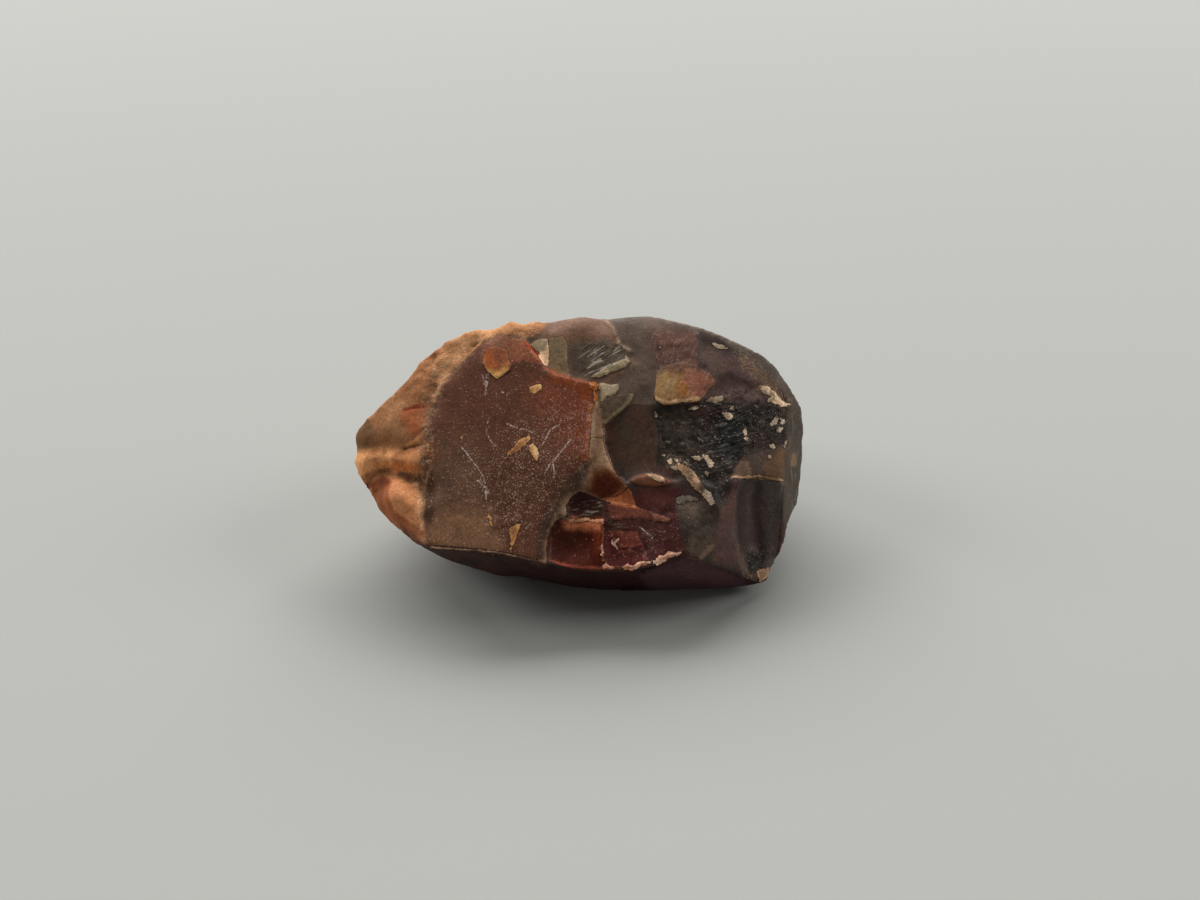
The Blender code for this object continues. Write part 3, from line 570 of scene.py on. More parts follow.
# The unseen side: dark mottled stone, with rind beyond the rind's line.
BACK_TONES = [((70, 52, 46), (58, 46, 42)), ((84, 66, 54), (72, 56, 46)), ((56, 34, 32), (64, 40, 36)),
              ((50, 50, 44), (62, 58, 50))]
BACK_PATCHES = [(16.0, 11), (22.0, 17), (19.0, 23)]
BACK_RAMP = (0.05, 0.45)
BACK_ROUGH = 0.42
RIND_TONES = ((98, 73, 53), (82, 60, 44))
RIND_DARK_TONES = ((70, 47, 33), (62, 47, 36))
RIND_DARK_RAMP = (0.0, 0.6)
RIND_ROUGH = 0.75
BACK_BROKEN = 0.55
RIND_BROKEN = 0.3

# Each layer's name, its patches, fields and strokes, and how much of its height is in the mesh.
# The material's bump adds to that.
LAYERS = [("faces", FACES, FACE_FIELDS, FACE_STROKES, 0.8),
          ("steps", STEPS, STEP_FIELDS, STEP_STROKES, 0.6),
          ("chips", CHIPS, CHIP_FIELDS, [], 0.15)]

# The relief, in millimetres.
LIFT_RAMP = (-0.2, 0.3)
LINE_END = 1.5
LINE_SOFT = (0.35, 0.6)
STEP_SOFT = 0.15
CHIP_DEPTH = 0.25
CHIP_REACH = 1.4
FOOT_RAMP = (0.05, 0.8)
CRUMBLY_FROM = (395.0, 450.0)
CRUMBLY_LEAST = 0.45
WEAR_PASSES = 6
WEAR_RAMP = (0.03, 0.16)
STREAK_LENGTH = 2.2
STREAK_GAP = 0.34

# The material of each layer: how ragged its edges are, how dark the painted shadow line round
# them is, and how strong its mottle is.
LAYER_EDGES = [("faces", 0.35, 0.12, 0.10), ("steps", 0.8, 0.4, 0.16), ("chips", 1.4, 0.6, 0.4)]
EDGE_SOFT = 0.06
SHADE_REACH = 0.35
RAGGED_RAMP = (-0.2, 0.2)
# Each patch is painted lighter along its edge, a painted highlight, and a little darker further in.
RIM_REACH = 0.5
RIM_HIGHLIGHT = 0.3
RIM_DARK = -0.2
# Noises: size in millimetres, detail, roughness, seed and, for one, how it is stretched.
NOISE_MIDDLE = 0.5
FINE = (0.45, 4.0, 0.6)
FINEST = (0.24, 2.0, 0.6, 27.0)
MIDDLING = (1.8, 4.0, 0.6, 3.0)
RAGGED = (0.8, 4.0, 0.7, 15.0)
FLECKS = (0.7, 3.0, 0.7, 21.0, (0.55, 1.0, 1.0))
CRUMBS = (0.6, 4.0, 0.65, 33.0)
SCRATCH_GAPS = (0.4, 3.0, 0.7, 9.0)
# Broken cells: size in millimetres, how far they are bent, and seed.
LARGE_CELLS = (1.9, 1.6, 2.0)
SMALL_CELLS = (0.8, 0.9, 6.0)
LARGE_SHARE = 0.6
BEND_NOISE = (3.0, 0.6)
CELL_CONTRAST = 1.3
# Ramps: a value from the first number to the second becomes the third to the fourth, or 0 to 1.
FINE_GRAIN = (0.28, 0.72, 0.76, 1.2)
FINEST_GRAIN = (0.3, 0.7, -0.16, 0.16)
MIDDLING_GRAIN = (0.3, 0.7, -0.1, 0.1)
MIDDLING_ROUGH = (0.3, 0.7, -0.05, 0.07)
SPECKS_THICKER = (0.3, 0.62, 0.35, 1.3)
FLECK_RAMP = (0.59, 0.65)
CRUMB_RAMP = (0.47, 0.60)
STREAK_RAMP = (0.54, 0.66)
SCRATCH_RAMP = (0.45, 0.54)
GRIT_RAMP = (0.28, 0.75, 0.004, 0.05)
LUMP_RAMP = (0.28, 0.75, 0.01, 0.10)
LINE_CORE = 0.4
# Specks: cell size in millimetres, seed and the largest speck's share of its cell.
SPECK_KINDS = [(0.26, 0.0, 0.46), (0.42, 7.0, 0.36), (0.9, 4.0, 0.2)]
SPECK_CORE = 0.55
SPECK_SHARE = 0.95
SCRATCH_WIDTH = 0.20
CRACK_AND_SHADOW_WIDTH = 0.14
LINE_WOBBLE = 0.5
LIFT_SHARE = 0.5
CELL_HEIGHT = 0.22
CRUMB_HEIGHT = 0.10
STREAK_HEIGHT = 0.10
IOR = 1.5
GLINT = 0.08

# How strongly each thing on the stone is tinted, and its colour.
SPECK_TINT = (0.8, (0.60, 0.41, 0.31, 1.0))
FLECK_TINT = (0.5, (0.34, 0.28, 0.22, 1.0))
CRUMB_TINT = (0.75, (0.46, 0.29, 0.16, 1.0))
STREAK_TINT = (0.8, (0.50, 0.45, 0.37, 1.0))
SCRATCH_TINT = (0.75, (0.80, 0.64, 0.56, 1.0))
CRACK_AND_SHADOW_TINT = (0.75, (0.02, 0.012, 0.009, 1.0))
WEAR_TINT = (0.12, (0.30, 0.20, 0.14, 1.0))
# The near-black colour of painted shade: round patches and in hollows.
SHADE_COLOUR = (0.015, 0.010, 0.008, 1.0)
HOLLOW_SHADE_TINT = (0.35, SHADE_COLOUR)

FLOOR_COLOUR = (0.42, 0.424, 0.40, 1.0)
FLOOR_REACH = 2500.0
ROOM_COLOUR = (1.0, 0.99, 0.97, 1.0)
ROOM_STRENGTH = 0.072
CLIP_START = 0.01
# Each light's name, place, width and depth in millimetres, and power in watts.
LIGHTS = [("key", (-240.0, 2150.0, 1640.0), 4200.0, 1360.0, 144.0),
          ("left_side", (-1900.0, 500.0, 1100.0), 900.0, 900.0, 20.0),
          ("right_side", (1900.0, 500.0, 1100.0), 900.0, 900.0, 17.0),
          ("low_fill", (-840.0, -880.0, 150.0), 600.0, 250.0, 0.6)]


# ---- gaps to outlines and lines

def photo_pixels(points):
    """Where these points lie in the photograph."""
    seen = points - CAMERA_PLACE
    deep = seen @ CAMERA_AHEAD
    across = PHOTO_MIDDLE[0] + FOCAL_PX * (seen @ CAMERA_RIGHT) / deep
    down = PHOTO_MIDDLE[1] - FOCAL_PX * (seen @ CAMERA_UP) / deep
    return np.stack([across, down], axis=1)


def corners_of(line):
    """A flat list's points, one to a row."""
    return np.array(line, float).reshape(-1, 2)


def segment_gaps(at, start, end):
    """Each point's gap to one segment, and the side of it that the point is on."""
    along = end - start
    away = at - start
    share = np.clip(away @ along / (along @ along), 0.0, 1.0)
    gap = np.linalg.norm(away - share[:, None] * along, axis=1)
    side = np.sign(along[0] * away[:, 1] - along[1] * away[:, 0])
    return gap, side


def outline_gap(at, outline):
    """Each point's gap to a closed outline in millimetres: positive inside, negative outside."""
    nearest = np.full(len(at), np.inf)
    inside = np.zeros(len(at), bool)
    corners = corners_of(outline)
    for start, end in zip(corners, np.roll(corners, -1, axis=0)):
        nearest = np.minimum(nearest, segment_gaps(at, start, end)[0])
        crosses = (start[1] > at[:, 1]) != (end[1] > at[:, 1])
        rise = (end[1] - start[1]) or 1e-9
        left_of = at[:, 0] < start[0] + (at[:, 1] - start[1]) * (end[0] - start[0]) / rise
        inside ^= crosses & left_of
    return np.where(inside, nearest, -nearest) * PX_MM


def line_gap(at, line):
    """Each point's signed gap to an open line: positive on its left, going along it."""
    nearest = np.full(len(at), np.inf)
    signed = np.full(len(at), np.inf)
    corners = corners_of(line)
    for start, end in zip(corners, corners[1:]):
        gap, side = segment_gaps(at, start, end)
        closer = gap < nearest
        nearest = np.where(closer, gap, nearest)
        signed = np.where(closer, gap * side, signed)
    return signed


def line_reach(at, line):
    """How far past a line's ends each point lies, in millimetres."""
    corners = corners_of(line)
    start = corners[0] - corners[1]
    end = corners[-1] - corners[-2]
    before = (at - corners[0]) @ start / np.linalg.norm(start)
    after = (at - corners[-1]) @ end / np.linalg.norm(end)
    return np.maximum(np.maximum(before, after), 0.0) * PX_MM


def ramp(value, low, high):
    share = np.clip((value - low) / (high - low), 0.0, 1.0)
    return share * share * (3.0 - 2.0 * share)


def blend(first, second, share):
    return first * (1.0 - share[:, None]) + second * share[:, None]


# ---- meshes

def joined_solid(node):
    """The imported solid's mesh with its doubled corners joined, and points along its sharp edges."""
    shape = bmesh.new()
    shape.from_mesh(node.data)
    bmesh.ops.remove_doubles(shape, verts=shape.verts, dist=JOIN_GAP * MM)
    mesh = bpy.data.meshes.new("joined")
    shape.to_mesh(mesh)
    sharp = sharp_samples(shape)
    shape.free()
    return mesh, sharp


def sharp_samples(shape):
    """Points along the solid's sharp edges, in millimetres."""
    samples = []
    for edge in shape.edges:
        if edge.calc_face_angle(0.0) < SHARP_EDGE:
            continue
        start, end = (corner.co / MM for corner in edge.verts)
        count = max(1, round((end - start).length / SHARP_STEP))
        samples.extend(start.lerp(end, (step + 0.5) / count) for step in range(count))
    return samples


def add_object(name, data):
    made = bpy.data.objects.new(name, data)
    bpy.context.scene.collection.objects.link(made)
    return made


def remeshed(mesh):
    """An object over this mesh with even faces."""
    stone = add_object("stone_skin", mesh)
    remesh = stone.modifiers.new("even faces", "REMESH")
    remesh.mode = "VOXEL"
    remesh.voxel_size = VOXEL * MM
    graph = bpy.context.evaluated_depsgraph_get()
    even = bpy.data.meshes.new_from_object(stone.evaluated_get(graph))
    stone.modifiers.clear()
    stone.data = even
    bpy.data.meshes.remove(mesh)
    return stone


def read(items, name, width, kind=float):
    """This value of each of a mesh's items, one item to a row."""
    values = np.empty(len(items) * width, kind)
    items.foreach_get(name, values)
    return values.reshape(-1, width)


def neighbour_mean(values, edges):
    """The mean of each point's neighbours' values, one point to a row."""
    count = len(values)
    degree = np.bincount(edges.reshape(-1), minlength=count)
    columns = []
    for column in values.T:
        total = np.bincount(edges[:, 0], column[edges[:, 1]], count)
        total += np.bincount(edges[:, 1], column[edges[:, 0]], count)
        columns.append(total / degree)
    return np.stack(columns, axis=1)


def smoothed(values, edges, passes, share=1.0):
    for _ in range(passes):
        values = values + share * SMOOTHING * (neighbour_mean(values, edges) - values)
    return values


def gaps_to(points, samples):
    """Each point's gap to the nearest sample."""
    if not samples:
        return np.full(len(points), FAR)
    tree = kdtree.KDTree(len(samples))
    for index, sample in enumerate(samples):
        tree.insert(sample, index)
    tree.balance()
    return np.array([tree.find(point)[2] for point in points])


def layered_noise(points, size, seed, layers=3):
    """Smooth noise from about -1 to 1, its lumps of this size, with finer and finer ones added."""
    total = np.zeros(len(points))
    for layer in range(layers):
        places = points / (size / 2 ** layer) + (seed + layer) * NOISE_STRIDE
        total += np.array([noise.noise(Vector(place)) for place in places]) / 2 ** layer
    return total


def chipped_planes(points, size, seed, stretch=1.0):
    """Small broken planes, each tilted its own way: heights as a share of their size."""
    places = points / (np.array([stretch, 1.0, 1.0]) * size) + seed * NOISE_STRIDE
    heights = []
    for place in map(Vector, places):
        middle = noise.voronoi(place)[1][0]
        tilt = noise.noise_vector(middle * TILT_STRIDE)
        heights.append(tilt.dot(place - middle))
    return np.array(heights)


# ---- the painting

def linear(tone):
    """A colour as the photograph shows it, 0 to 255, as the light that it stands for."""
    share = np.array(tone, float) / 255.0
    light = np.where(share > 0.04045, ((share + 0.055) / 1.055) ** 2.4, share / 12.92)
    return light * np.array(TONE_GAIN)


class Skin:
    """The skin's points and all that is worked out for them."""

    def __init__(self, stone, sharp):
        self.mesh = stone.data
        self.edges = read(self.mesh.edges, "vertices", 2, np.int64)
        self.points = read(self.mesh.vertices, "co", 3) / MM
        self.edge_gap = gaps_to(self.points, sharp)
        self.round_off()
        normals = smoothed(self.normals(), self.edges, WIDE_PASSES)
        self.seen = ramp(-(normals @ CAMERA_AHEAD), *SEEN_RAMP)
        self.at = photo_pixels(self.points)
        self.mottle = layered_noise(self.points, *MOTTLE)
        self.wobble = layered_noise(self.points, *WOBBLE)
        gap = line_gap(self.points[:, :2], RIND_LINE) + RIND_WOBBLE * self.wobble
        self.rind = ramp(gap, -RIND_SOFT, RIND_SOFT)

    def normals(self):
        return read(self.mesh.vertex_normals, "vector", 3)

    def place(self, points):
        """Moves the skin's points, given in millimetres."""
        self.points = points
        self.mesh.vertices.foreach_set("co", (points * MM).astype(np.float32).reshape(-1))
        self.mesh.update()

    def store(self, name, values, kind="FLOAT", field="value"):
        attribute = self.mesh.attributes.new(name, kind, "POINT")
        attribute.data.foreach_set(field, values.astype(np.float32).reshape(-1))

    def round_off(self):
        """Rounds off the solid's flat triangles, and leaves the rind's edges and those in view."""
        crest = ramp(-(self.normals() @ CAMERA_AHEAD), *CREST)
        crest *= ramp(line_gap(self.points[:, :2], RIND_LINE), CREST_SOFT, -CREST_SOFT)
        away = np.maximum(ramp(self.edge_gap, *EDGE_KEEP), crest)[:, None]
        share = EDGE_SHARE + (1.0 - EDGE_SHARE) * away
        self.place(smoothed(self.points, self.edges, ROUNDING_PASSES, share))

    def line(self, line):
        """Each point's signed gap to a line of the photograph, in millimetres."""
        return line_gap(self.at, line) * PX_MM

    def near(self, line):
        """1 beside a line of the photograph, and less and less past its ends."""
        return ramp(line_reach(self.at, line), LINE_END, 0.0) * self.seen

    def inside(self, outline, soft, ragged):
        """1 inside an outline and 0 outside it, over a soft and ragged edge."""
        return ramp(outline_gap(self.at, outline) + ragged * soft * self.wobble, -soft, soft)

    def paint(self, colour, weight, tone, other, rough):
        """Paints a mottle of two tones, with its roughness, where the weight is high."""
        mixed = blend(linear(tone), linear(other), ramp(self.mottle, *MOTTLE_RAMP))
        fresh = np.column_stack([mixed, np.full(len(weight), rough)])
        return blend(colour, fresh, weight)

    def paint_fields(self, colour, fields):
        for outline, tone, other, rough, soft in fields:
            weight = self.inside(outline, soft, FIELD_RAGGED) * self.seen
            colour = self.paint(colour, weight, tone, other, rough)
        return colour

    def paint_strokes(self, colour, strokes):
        for line, tone, width in strokes:
            gap = np.abs(self.line(line)) + STROKE_RAGGED * self.wobble
            weight = (1.0 - ramp(gap, STROKE_CORE * width, width)) * self.seen
            fresh = np.column_stack([np.tile(linear(tone), (len(gap), 1)), colour[:, 3]])
            colour = blend(colour, fresh, weight)
        return colour

    def ground(self):
        """The soft ground's colour and roughness."""
        everywhere = np.ones(len(self.at))
        colour = np.zeros((len(self.at), 4))
        colour = self.paint(colour, everywhere, *BACK_TONES[0], BACK_ROUGH)
        for tones, patches in zip(BACK_TONES[1:], BACK_PATCHES):
            weight = ramp(layered_noise(self.points, *patches), *BACK_RAMP)
            colour = self.paint(colour, weight, *tones, BACK_ROUGH)
        colour = self.paint(colour, self.rind, *RIND_TONES, RIND_ROUGH)
        dark = self.rind * ramp(layered_noise(self.points, *RIND_PATCHES), *RIND_DARK_RAMP)
        colour = self.paint(colour, dark, *RIND_DARK_TONES, RIND_ROUGH)
        return self.paint_strokes(self.paint_fields(colour, GROUND), GROUND_STROKES)

    def lift(self, outlines, height):
        """How far a patch stands out: where it is one outline, most at its lower edge."""
        if len(outlines) > 1:
            return np.full(len(self.at), height)
        downs = outlines[0][1::2]
        share = ramp(self.at[:, 1], min(downs), max(downs))
        return height * (FEATHERED + (1.0 - FEATHERED) * share)

    def store_layer(self, name, patches, fields, strokes):
        """Stores a layer's edge, lift and colour, and returns the first two."""
        gaps = np.stack([np.max([outline_gap(self.at, outline) for outline in outlines], axis=0)
                         for outlines, *_ in patches]) - FAR * (1.0 - self.seen)
        nearest = gaps.argmax(axis=0)
        colour = np.zeros((len(nearest), 4))
        for index, (_, tone, other, rough, _) in enumerate(patches):
            colour = self.paint(colour, (nearest == index).astype(float), tone, other, rough)
        colour = self.paint_strokes(self.paint_fields(colour, fields), strokes)
        edge = np.clip(gaps.max(axis=0), -EDGE_CLIP, EDGE_CLIP)
        lift = np.choose(nearest, [self.lift(outlines, height) for outlines, *_, height in patches])
        self.store(name + "_edge", edge)
        self.store(name + "_lift", lift)
        self.store(name, colour, "FLOAT_COLOR", "color")
        return edge, lift

    def spread(self, fields):
        """The largest weight of any of these fields."""
        weights = [strength * self.inside(outline, soft, SPREAD_RAGGED)
                   for outline, strength, soft in fields]
        return np.max(weights, axis=0) * self.seen

    def store_lines(self, name, lines):
        """Stores each point's signed gap to the nearest line, and how near it is."""
        signed = np.full(len(self.at), FAR)
        for line in lines:
            gap = self.line(line)
            signed = np.where(np.abs(gap) < np.abs(signed), gap, signed)
        self.store(name, np.clip(signed, -EDGE_CLIP, EDGE_CLIP))
        self.store(name + "_near", (1.0 - ramp(np.abs(signed), *LINE_SOFT)) * self.seen)

    def store_streaks(self):
        """Stores how streaked each point is, and its place along and across its streaks."""
        strongest = np.zeros(len(self.points))
        places = np.zeros((len(self.points), 3))
        for number, (outline, strength, soft, slope, size) in enumerate(STREAKED):
            turn = math.radians(slope)
            along = self.at @ np.array([math.cos(turn), -math.sin(turn)]) * PX_MM
            across = self.at @ np.array([math.sin(turn), math.cos(turn)]) * PX_MM
            layout = np.column_stack([along / (size * STREAK_LENGTH), across / (size * STREAK_GAP),
                                      np.full(len(along), number)])
            share = self.spread([(outline, strength, soft)])
            places = np.where((share > strongest)[:, None], layout, places)
            strongest = np.maximum(strongest, share)
        self.store("streaked", strongest)
        self.store("streak_place", places, "FLOAT_VECTOR", "vector")

    def store_wear_and_hollow_shade(self):
        """Stores how far each point stands out of, or back from, what lies round it; where it lies back,
        the material paints shade.
        """
        wide = smoothed(self.points, self.edges, WEAR_PASSES)
        out = np.sum((self.points - wide) * self.normals(), axis=1)
        self.store("wear", ramp(out, *WEAR_RAMP))
        self.store("hollow_shade", ramp(-out, *WEAR_RAMP))


# ---- the relief

# Broken planes and lumps: where they lie, height, kind, size, seed, and a plane's stretch across
# or a noise's layers.
ROUGHNESS = [("rough", 0.352, chipped_planes, 2.4, 41, 1.6), ("rough", 0.176, chipped_planes, 1.3, 43, 1.6),
             ("rough", 0.08, layered_noise, 1.2, 45), ("crumbly", 0.30, layered_noise, 4.2, 51, 4),
             ("crumbly", 0.27, chipped_planes, 3.0, 53), ("rind", 0.15, chipped_planes, 5.0, 57),
             ("back", 1.2, chipped_planes, 11.0, 61), ("back", 0.3, chipped_planes, 4.0, 63),
             ("back", 0.15, layered_noise, 3.0, 65)]


def line_relief(skin):
    """The creases, crests and steps."""
    rise = np.zeros(len(skin.points))
    for line, height, width in RELIEF_LINES:
        rise += height * skin.near(line) * np.exp(-np.square(skin.line(line) / width))
    for line, side, height, width in RELIEF_STEPS:
        gap = side * skin.line(line)
        rise += height * skin.near(line) * ramp(gap, -STEP_SOFT, STEP_SOFT) * ramp(gap, width, 0.0)
    return rise


def relief(skin, lifts):
    """How far each point moves along its normal, in millimetres."""
    rise = line_relief(skin)
    for edge, lift, share in lifts:
        rise += share * lift * ramp(edge, *LIFT_RAMP)
    crumbly = CRUMBLY_LEAST + (1.0 - CRUMBLY_LEAST) * ramp(skin.at[:, 0], *CRUMBLY_FROM)
    places = {"rough": skin.spread(ROUGH_GROUND), "rind": skin.rind, "crumbly": skin.rind * crumbly,
              "back": (1.0 - skin.seen) * (1.0 - skin.rind)}
    for place, height, kind, *how in ROUGHNESS:
        rise += height * places[place] * kind(skin.points, *how)
    chipped = 1.0 - ramp(skin.edge_gap, 0.0, CHIP_REACH)
    rise -= CHIP_DEPTH * chipped * np.maximum(0.0, layered_noise(skin.points, *EDGE_CHIPS))
    return rise * ramp(skin.points[:, 2], *FOOT_RAMP)


# ---- the material

class Graph:
    """Small helpers that build a material's nodes."""

    def __init__(self, name):
        self.material = bpy.data.materials.new(name)
        self.material.use_nodes = True
        self.tree = self.material.node_tree
        self.tree.nodes.clear()

    def node(self, kind, inputs=(), **settings):
        made = self.tree.nodes.new(kind)
        for name, value in settings.items():
            setattr(made, name, value)
        for name, value in dict(inputs).items():
            if isinstance(value, bpy.types.NodeSocket):
                self.tree.links.new(value, made.inputs[name])
            else:
                made.inputs[name].default_value = value
        return made

    def surface(self, inputs):
        """Ends the material with a shader that has these inputs."""
        shader = self.node("ShaderNodeBsdfPrincipled", inputs)
        self.node("ShaderNodeOutputMaterial", {"Surface": shader.outputs[0]})
        return self.material

    def math(self, operation, first, second=0.0):
        return self.node("ShaderNodeMath", {0: first, 1: second}, operation=operation).outputs[0]

    def plus(self, first, second):
        return self.math("ADD", first, second)

    def times(self, first, second):
        return self.math("MULTIPLY", first, second)

    def moved(self, operation, vector, by):
        return self.node("ShaderNodeVectorMath", {0: vector, 1: by}, operation=operation).outputs[0]

    def attribute(self, name, output="Fac"):
        return self.node("ShaderNodeAttribute", attribute_name=name).outputs[output]

    def ramp(self, value, low, high, to_low=0.0, to_high=1.0):
        ends = {"Value": value, "From Min": low, "From Max": high, "To Min": to_low, "To Max": to_high}
        return self.node("ShaderNodeMapRange", ends, interpolation_type="SMOOTHSTEP").outputs["Result"]

    def mix(self, share, first, second, kind="RGBA", blend_type="MIX"):
        ends = {"Factor": share, "A": first, "B": second}
        return self.node("ShaderNodeMix", ends, data_type=kind, blend_type=blend_type).outputs["Result"]

    def shaded(self, colour, value):
        """The colour made darker or lighter by a number."""
        grey = self.node("ShaderNodeCombineColor", {"Red": value, "Green": value, "Blue": value})
        return self.mix(1.0, colour, grey.outputs[0], blend_type="MULTIPLY")


class StoneGraph(Graph):
    """The stone's nodes: each step takes in the colour, roughness and height so far."""

    def __init__(self, name):
        super().__init__(name)
        self.place = self.node("ShaderNodeTexCoord").outputs["Object"]
        self.fine = self.noise(*FINE)
        self.middling = self.noise(*MIDDLING)
        self.ragged = self.math("SUBTRACT", self.noise(*RAGGED), NOISE_MIDDLE)
        self.broken = self.attribute("broken")
        self.colour = self.attribute("ground", "Color")
        self.rough = self.attribute("ground", "Alpha")
        self.height = 0.0

    def noise(self, size, detail, rough, seed=0.0, stretch=None, output="Fac"):
        """Noise with lumps of this size in millimetres."""
        place = self.moved("MULTIPLY", self.place, stretch) if stretch else self.place
        made = self.node("ShaderNodeTexNoise", {"Scale": 1.0 / (size * MM), "Detail": detail,
                                                "Roughness": rough, "W": seed, "Vector": place},
                         noise_dimensions="4D")
        return made.outputs[output]

    def cells(self, size, seed, place):
        """Cells of this size in millimetres: the gap to each one's middle, and its random number."""
        made = self.node("ShaderNodeTexVoronoi", {"Scale": 1.0 / (size * MM), "W": seed, "Vector": place},
                         voronoi_dimensions="4D")
        lot = self.node("ShaderNodeSeparateColor", {"Color": made.outputs["Color"]})
        return made.outputs["Distance"], lot.outputs["Red"]

    def broken_cells(self, size, bend, seed):
        """Ragged cells of this size in millimetres, each with its own number from 0 to 1."""
        bent = self.noise(size, *BEND_NOISE, seed, output="Color")
        bent = self.moved("SUBTRACT", bent, (NOISE_MIDDLE,) * 3)
        bent = self.moved("MULTIPLY", bent, (bend * MM,) * 3)
        return self.cells(size, seed, self.moved("ADD", self.place, bent))[1]

    def tint(self, where, strength, colour):
        self.colour = self.mix(self.times(where, strength), self.colour, colour)

    def raise_by(self, value, height):
        self.height = self.plus(self.height, self.times(value, height))

    def add_layer(self, name, bend, shade, mottle):
        """Lays a layer of patches over what lies under it, with a painted shadow line round them and a
        painted highlight along their edges.
        """
        edge = self.plus(self.attribute(name + "_edge"), self.times(self.ragged, bend))
        mask = self.ramp(edge, -EDGE_SOFT, EDGE_SOFT)
        self.raise_by(self.attribute(name + "_lift"), mask)
        # Painted shadow: a thin dark line just outside the patch's edge.
        self.colour = self.mix(self.ramp(edge, -SHADE_REACH, 0.0, 0.0, shade), self.colour, SHADE_COLOUR)
        # A painted highlight along the patch's edge, and a little darker further in.
        own = self.plus(self.ramp(self.ragged, *RAGGED_RAMP, 1.0 - mottle, 1.0 + mottle),
                        self.ramp(edge, 0.0, RIM_REACH, RIM_HIGHLIGHT * mottle, RIM_DARK * mottle))
        own = self.shaded(self.attribute(name, "Color"), own)
        self.colour = self.mix(mask, self.colour, own)
        self.rough = self.mix(mask, self.rough, self.attribute(name, "Alpha"), "FLOAT")

    def add_grain(self):
        """The stone's own grain, and on chipped ground small ragged planes, darker and lighter."""
        planes = self.plus(self.times(self.broken_cells(*LARGE_CELLS), LARGE_SHARE),
                           self.times(self.broken_cells(*SMALL_CELLS), 1.0 - LARGE_SHARE))
        planes = self.times(self.math("SUBTRACT", planes, NOISE_MIDDLE), self.broken)
        grain = self.plus(self.ramp(self.fine, *FINE_GRAIN), self.ramp(self.middling, *MIDDLING_GRAIN))
        grain = self.plus(grain, self.times(planes, CELL_CONTRAST))
        grain = self.plus(grain, self.ramp(self.noise(*FINEST), *FINEST_GRAIN))
        self.colour = self.shaded(self.colour, grain)
        return planes

    def add_specks(self):
        """White specks, thicker where the stored share is higher."""
        share = self.times(self.attribute("speckled"), self.ramp(self.middling, *SPECKS_THICKER))
        for size, seed, reach in SPECK_KINDS:
            gap, lot = self.cells(size, seed, self.place)
            dot = self.ramp(gap, SPECK_CORE * reach, reach, 1.0, 0.0)
            chosen = self.math("LESS_THAN", lot, self.times(share, SPECK_SHARE))
            self.tint(self.times(dot, chosen), *SPECK_TINT)

    def add_flecks(self):
        """Pale flecks on chipped ground, and crumbs along the rind's edge."""
        fleck = self.ramp(self.noise(*FLECKS), *FLECK_RAMP)
        self.tint(self.times(fleck, self.broken), *FLECK_TINT)
        crumb = self.times(self.ramp(self.noise(*CRUMBS), *CRUMB_RAMP), self.attribute("crumbled"))
        self.tint(crumb, *CRUMB_TINT)
        return crumb

    def add_streaks(self):
        """Fine pale streaks, each field's in its own direction."""
        lines = self.node("ShaderNodeTexNoise", {
            "Scale": 1.0, "Detail": 3.0, "Roughness": 0.6, "Distortion": 0.3,
            "Vector": self.attribute("streak_place", "Vector")})
        streak = self.times(self.ramp(lines.outputs["Fac"], *STREAK_RAMP), self.attribute("streaked"))
        self.tint(streak, *STREAK_TINT)
        return streak

    def line(self, name, width):
        """1 on the nearest of the lines stored under this name."""
        wobble = self.times(self.math("SUBTRACT", self.fine, NOISE_MIDDLE), LINE_WOBBLE)
        gap = self.math("ABSOLUTE", self.plus(self.attribute(name), wobble))
        beside = self.ramp(gap, LINE_CORE * width, width, 1.0, 0.0)
        return self.times(self.attribute(name + "_near"), beside)


def stone_material():
    graph = StoneGraph("petrified_wood_stone")
    for name, bend, shade, mottle in LAYER_EDGES:
        graph.add_layer(name, bend, shade, mottle)
    planes = graph.add_grain()
    graph.add_specks()
    crumb = graph.add_flecks()
    streak = graph.add_streaks()
    gaps = graph.ramp(graph.noise(*SCRATCH_GAPS), *SCRATCH_RAMP)
    graph.tint(graph.times(graph.line("scratch", SCRATCH_WIDTH), gaps), *SCRATCH_TINT)
    # Dark lines: cracks, and painted shadow under raised edges.
    graph.tint(graph.line("crack_and_shadow", CRACK_AND_SHADOW_WIDTH), *CRACK_AND_SHADOW_TINT)
    # Edges that stand out are paler, and hollows are darkened with painted shade.
    graph.tint(graph.attribute("wear"), *WEAR_TINT)
    graph.tint(graph.attribute("hollow_shade"), *HOLLOW_SHADE_TINT)
    rough = graph.plus(graph.rough, graph.ramp(graph.middling, *MIDDLING_ROUGH))
    grit = graph.times(graph.fine, graph.ramp(rough, *GRIT_RAMP))
    lumps = graph.times(graph.middling, graph.ramp(rough, *LUMP_RAMP))
    graph.height = graph.plus(graph.times(graph.height, LIFT_SHARE), graph.plus(grit, lumps))
    graph.raise_by(planes, CELL_HEIGHT)
    graph.raise_by(crumb, CRUMB_HEIGHT)
    graph.raise_by(streak, STREAK_HEIGHT)
    bump = graph.node("ShaderNodeBump", {"Strength": 1.0, "Distance": MM, "Height": graph.height})
    return graph.surface({"Base Color": graph.colour, "Roughness": rough, "Normal": bump.outputs[0],
                          "IOR": IOR, "Specular IOR Level": GLINT})


# ---- the stone

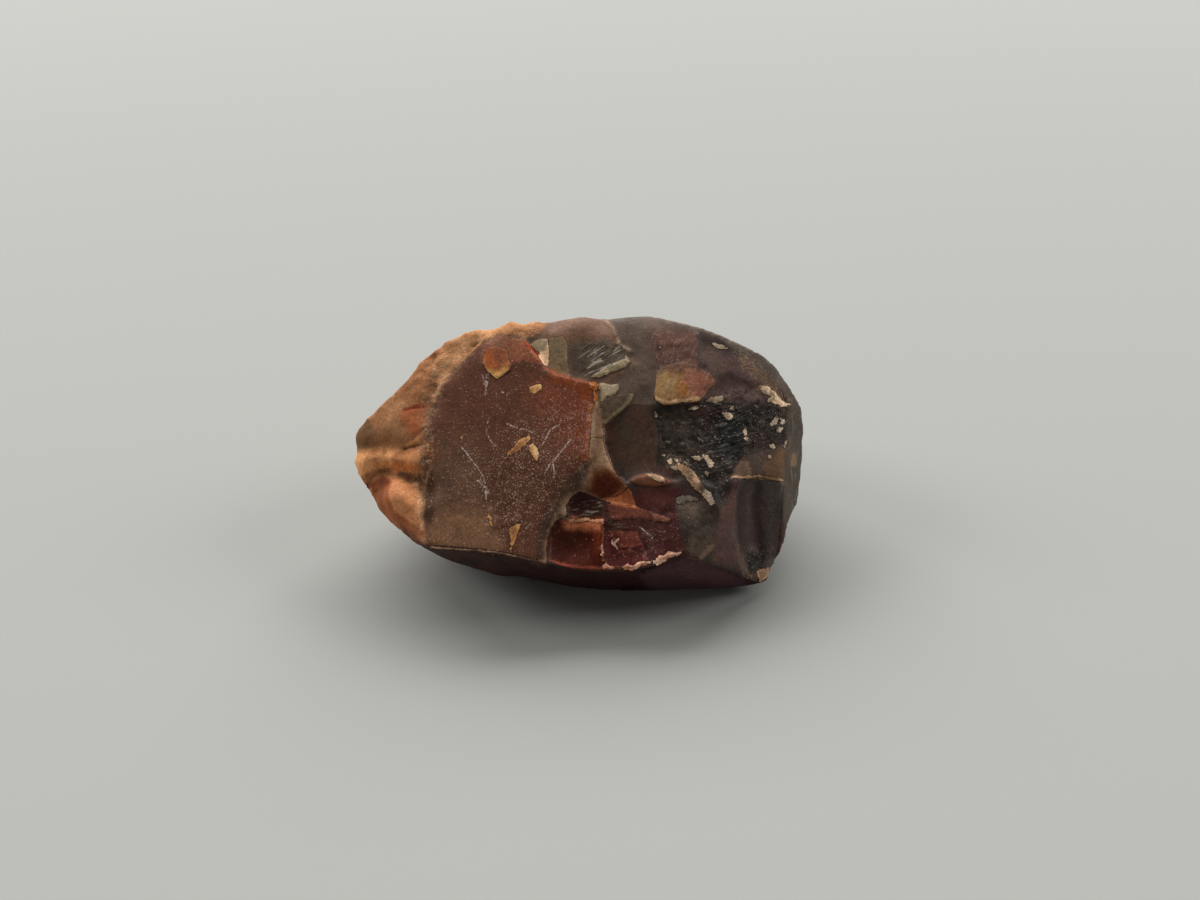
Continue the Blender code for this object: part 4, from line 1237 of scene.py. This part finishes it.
def store_looks(skin):
    """Stores all that the material reads, and returns what the layers add to the relief."""
    skin.store("ground", skin.ground(), "FLOAT_COLOR", "color")
    lifts = [(*skin.store_layer(*layer), share) for *layer, share in LAYERS]
    skin.store("speckled", skin.spread(SPECKLED))
    skin.store("crumbled", skin.spread(CRUMBLED))
    back = (1.0 - skin.seen) * (BACK_BROKEN + (RIND_BROKEN - BACK_BROKEN) * skin.rind)
    skin.store("broken", np.maximum(skin.spread(ROUGH_GROUND), back))
    skin.store_streaks()
    skin.store_lines("scratch", SCRATCHES)
    skin.store_lines("crack_and_shadow", CRACKS_AND_SHADOW_LINES)
    return lifts


def make_stone(low, high):
    """Makes the skin, keeps it inside the solid's box and puts it in the solid's place."""
    mesh, sharp = joined_solid(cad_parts[NODE])
    stone = remeshed(mesh)
    skin = Skin(stone, sharp)
    rise = relief(skin, store_looks(skin))[:, None]
    skin.place(np.clip(skin.points + rise * skin.normals(), low + BOX_SPARE, high - BOX_SPARE))
    skin.store_wear_and_hollow_shade()
    skin.mesh.shade_smooth()
    skin.mesh.materials.clear()
    skin.mesh.materials.append(stone_material())
    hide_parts(NODE)
    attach(stone, "root")


# ---- floor, light and camera

def make_floor():
    reach = FLOOR_REACH * MM
    mesh = bpy.data.meshes.new("floor")
    corners = [(-reach, -reach, 0.0), (reach, -reach, 0.0), (reach, reach, 0.0), (-reach, reach, 0.0)]
    mesh.from_pydata(corners, [], [(0, 1, 2, 3)])
    mesh.materials.append(Graph("pale_floor").surface({
        "Base Color": FLOOR_COLOUR, "Roughness": 1.0, "Specular IOR Level": 0.0}))
    floor = add_object("floor", mesh)


def make_light(name, place, wide, deep, power):
    """A rectangle of light that faces the stone."""
    light = bpy.data.lights.new(name, "AREA")
    light.shape = "RECTANGLE"
    light.size = wide * MM
    light.size_y = deep * MM
    light.energy = power
    holder = add_object(name, light)
    holder.location = Vector(place) * MM
    holder.rotation_euler = (-Vector(place)).to_track_quat("-Z", "Y").to_euler()


def make_room():
    """A soft, even light from all round."""
    world = bpy.data.worlds.new("soft_room")
    bpy.context.scene.world = world
    world.use_nodes = True
    background = world.node_tree.nodes["Background"]
    background.inputs["Color"].default_value = ROOM_COLOUR
    background.inputs["Strength"].default_value = ROOM_STRENGTH


def make_camera():
    camera = bpy.data.cameras.new("camera")
    camera.lens = LENS_MM
    camera.sensor_width = SENSOR_MM
    camera.clip_start = CLIP_START
    holder = add_object("camera", camera)
    holder.location = Vector(CAMERA_PLACE) * MM
    holder.rotation_euler = (0.5 * math.pi - CAMERA_DOWN, 0.0, 0.0)
    bpy.context.scene.camera = holder


noise.seed_set(NOISE_SEED)
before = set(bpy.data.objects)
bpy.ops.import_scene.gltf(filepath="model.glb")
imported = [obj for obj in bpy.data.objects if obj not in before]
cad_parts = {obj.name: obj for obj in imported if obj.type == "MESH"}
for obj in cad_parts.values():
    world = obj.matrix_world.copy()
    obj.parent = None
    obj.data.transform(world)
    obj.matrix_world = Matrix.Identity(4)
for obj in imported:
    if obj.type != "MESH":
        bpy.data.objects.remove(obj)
CAD_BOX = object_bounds()
bpy.context.scene.view_settings.view_transform = "Standard"
make_camera()
for given in LIGHTS:
    make_light(*given)
make_room()
make_floor()
make_stone(np.array(CAD_BOX[0]) / MM, np.array(CAD_BOX[1]) / MM)
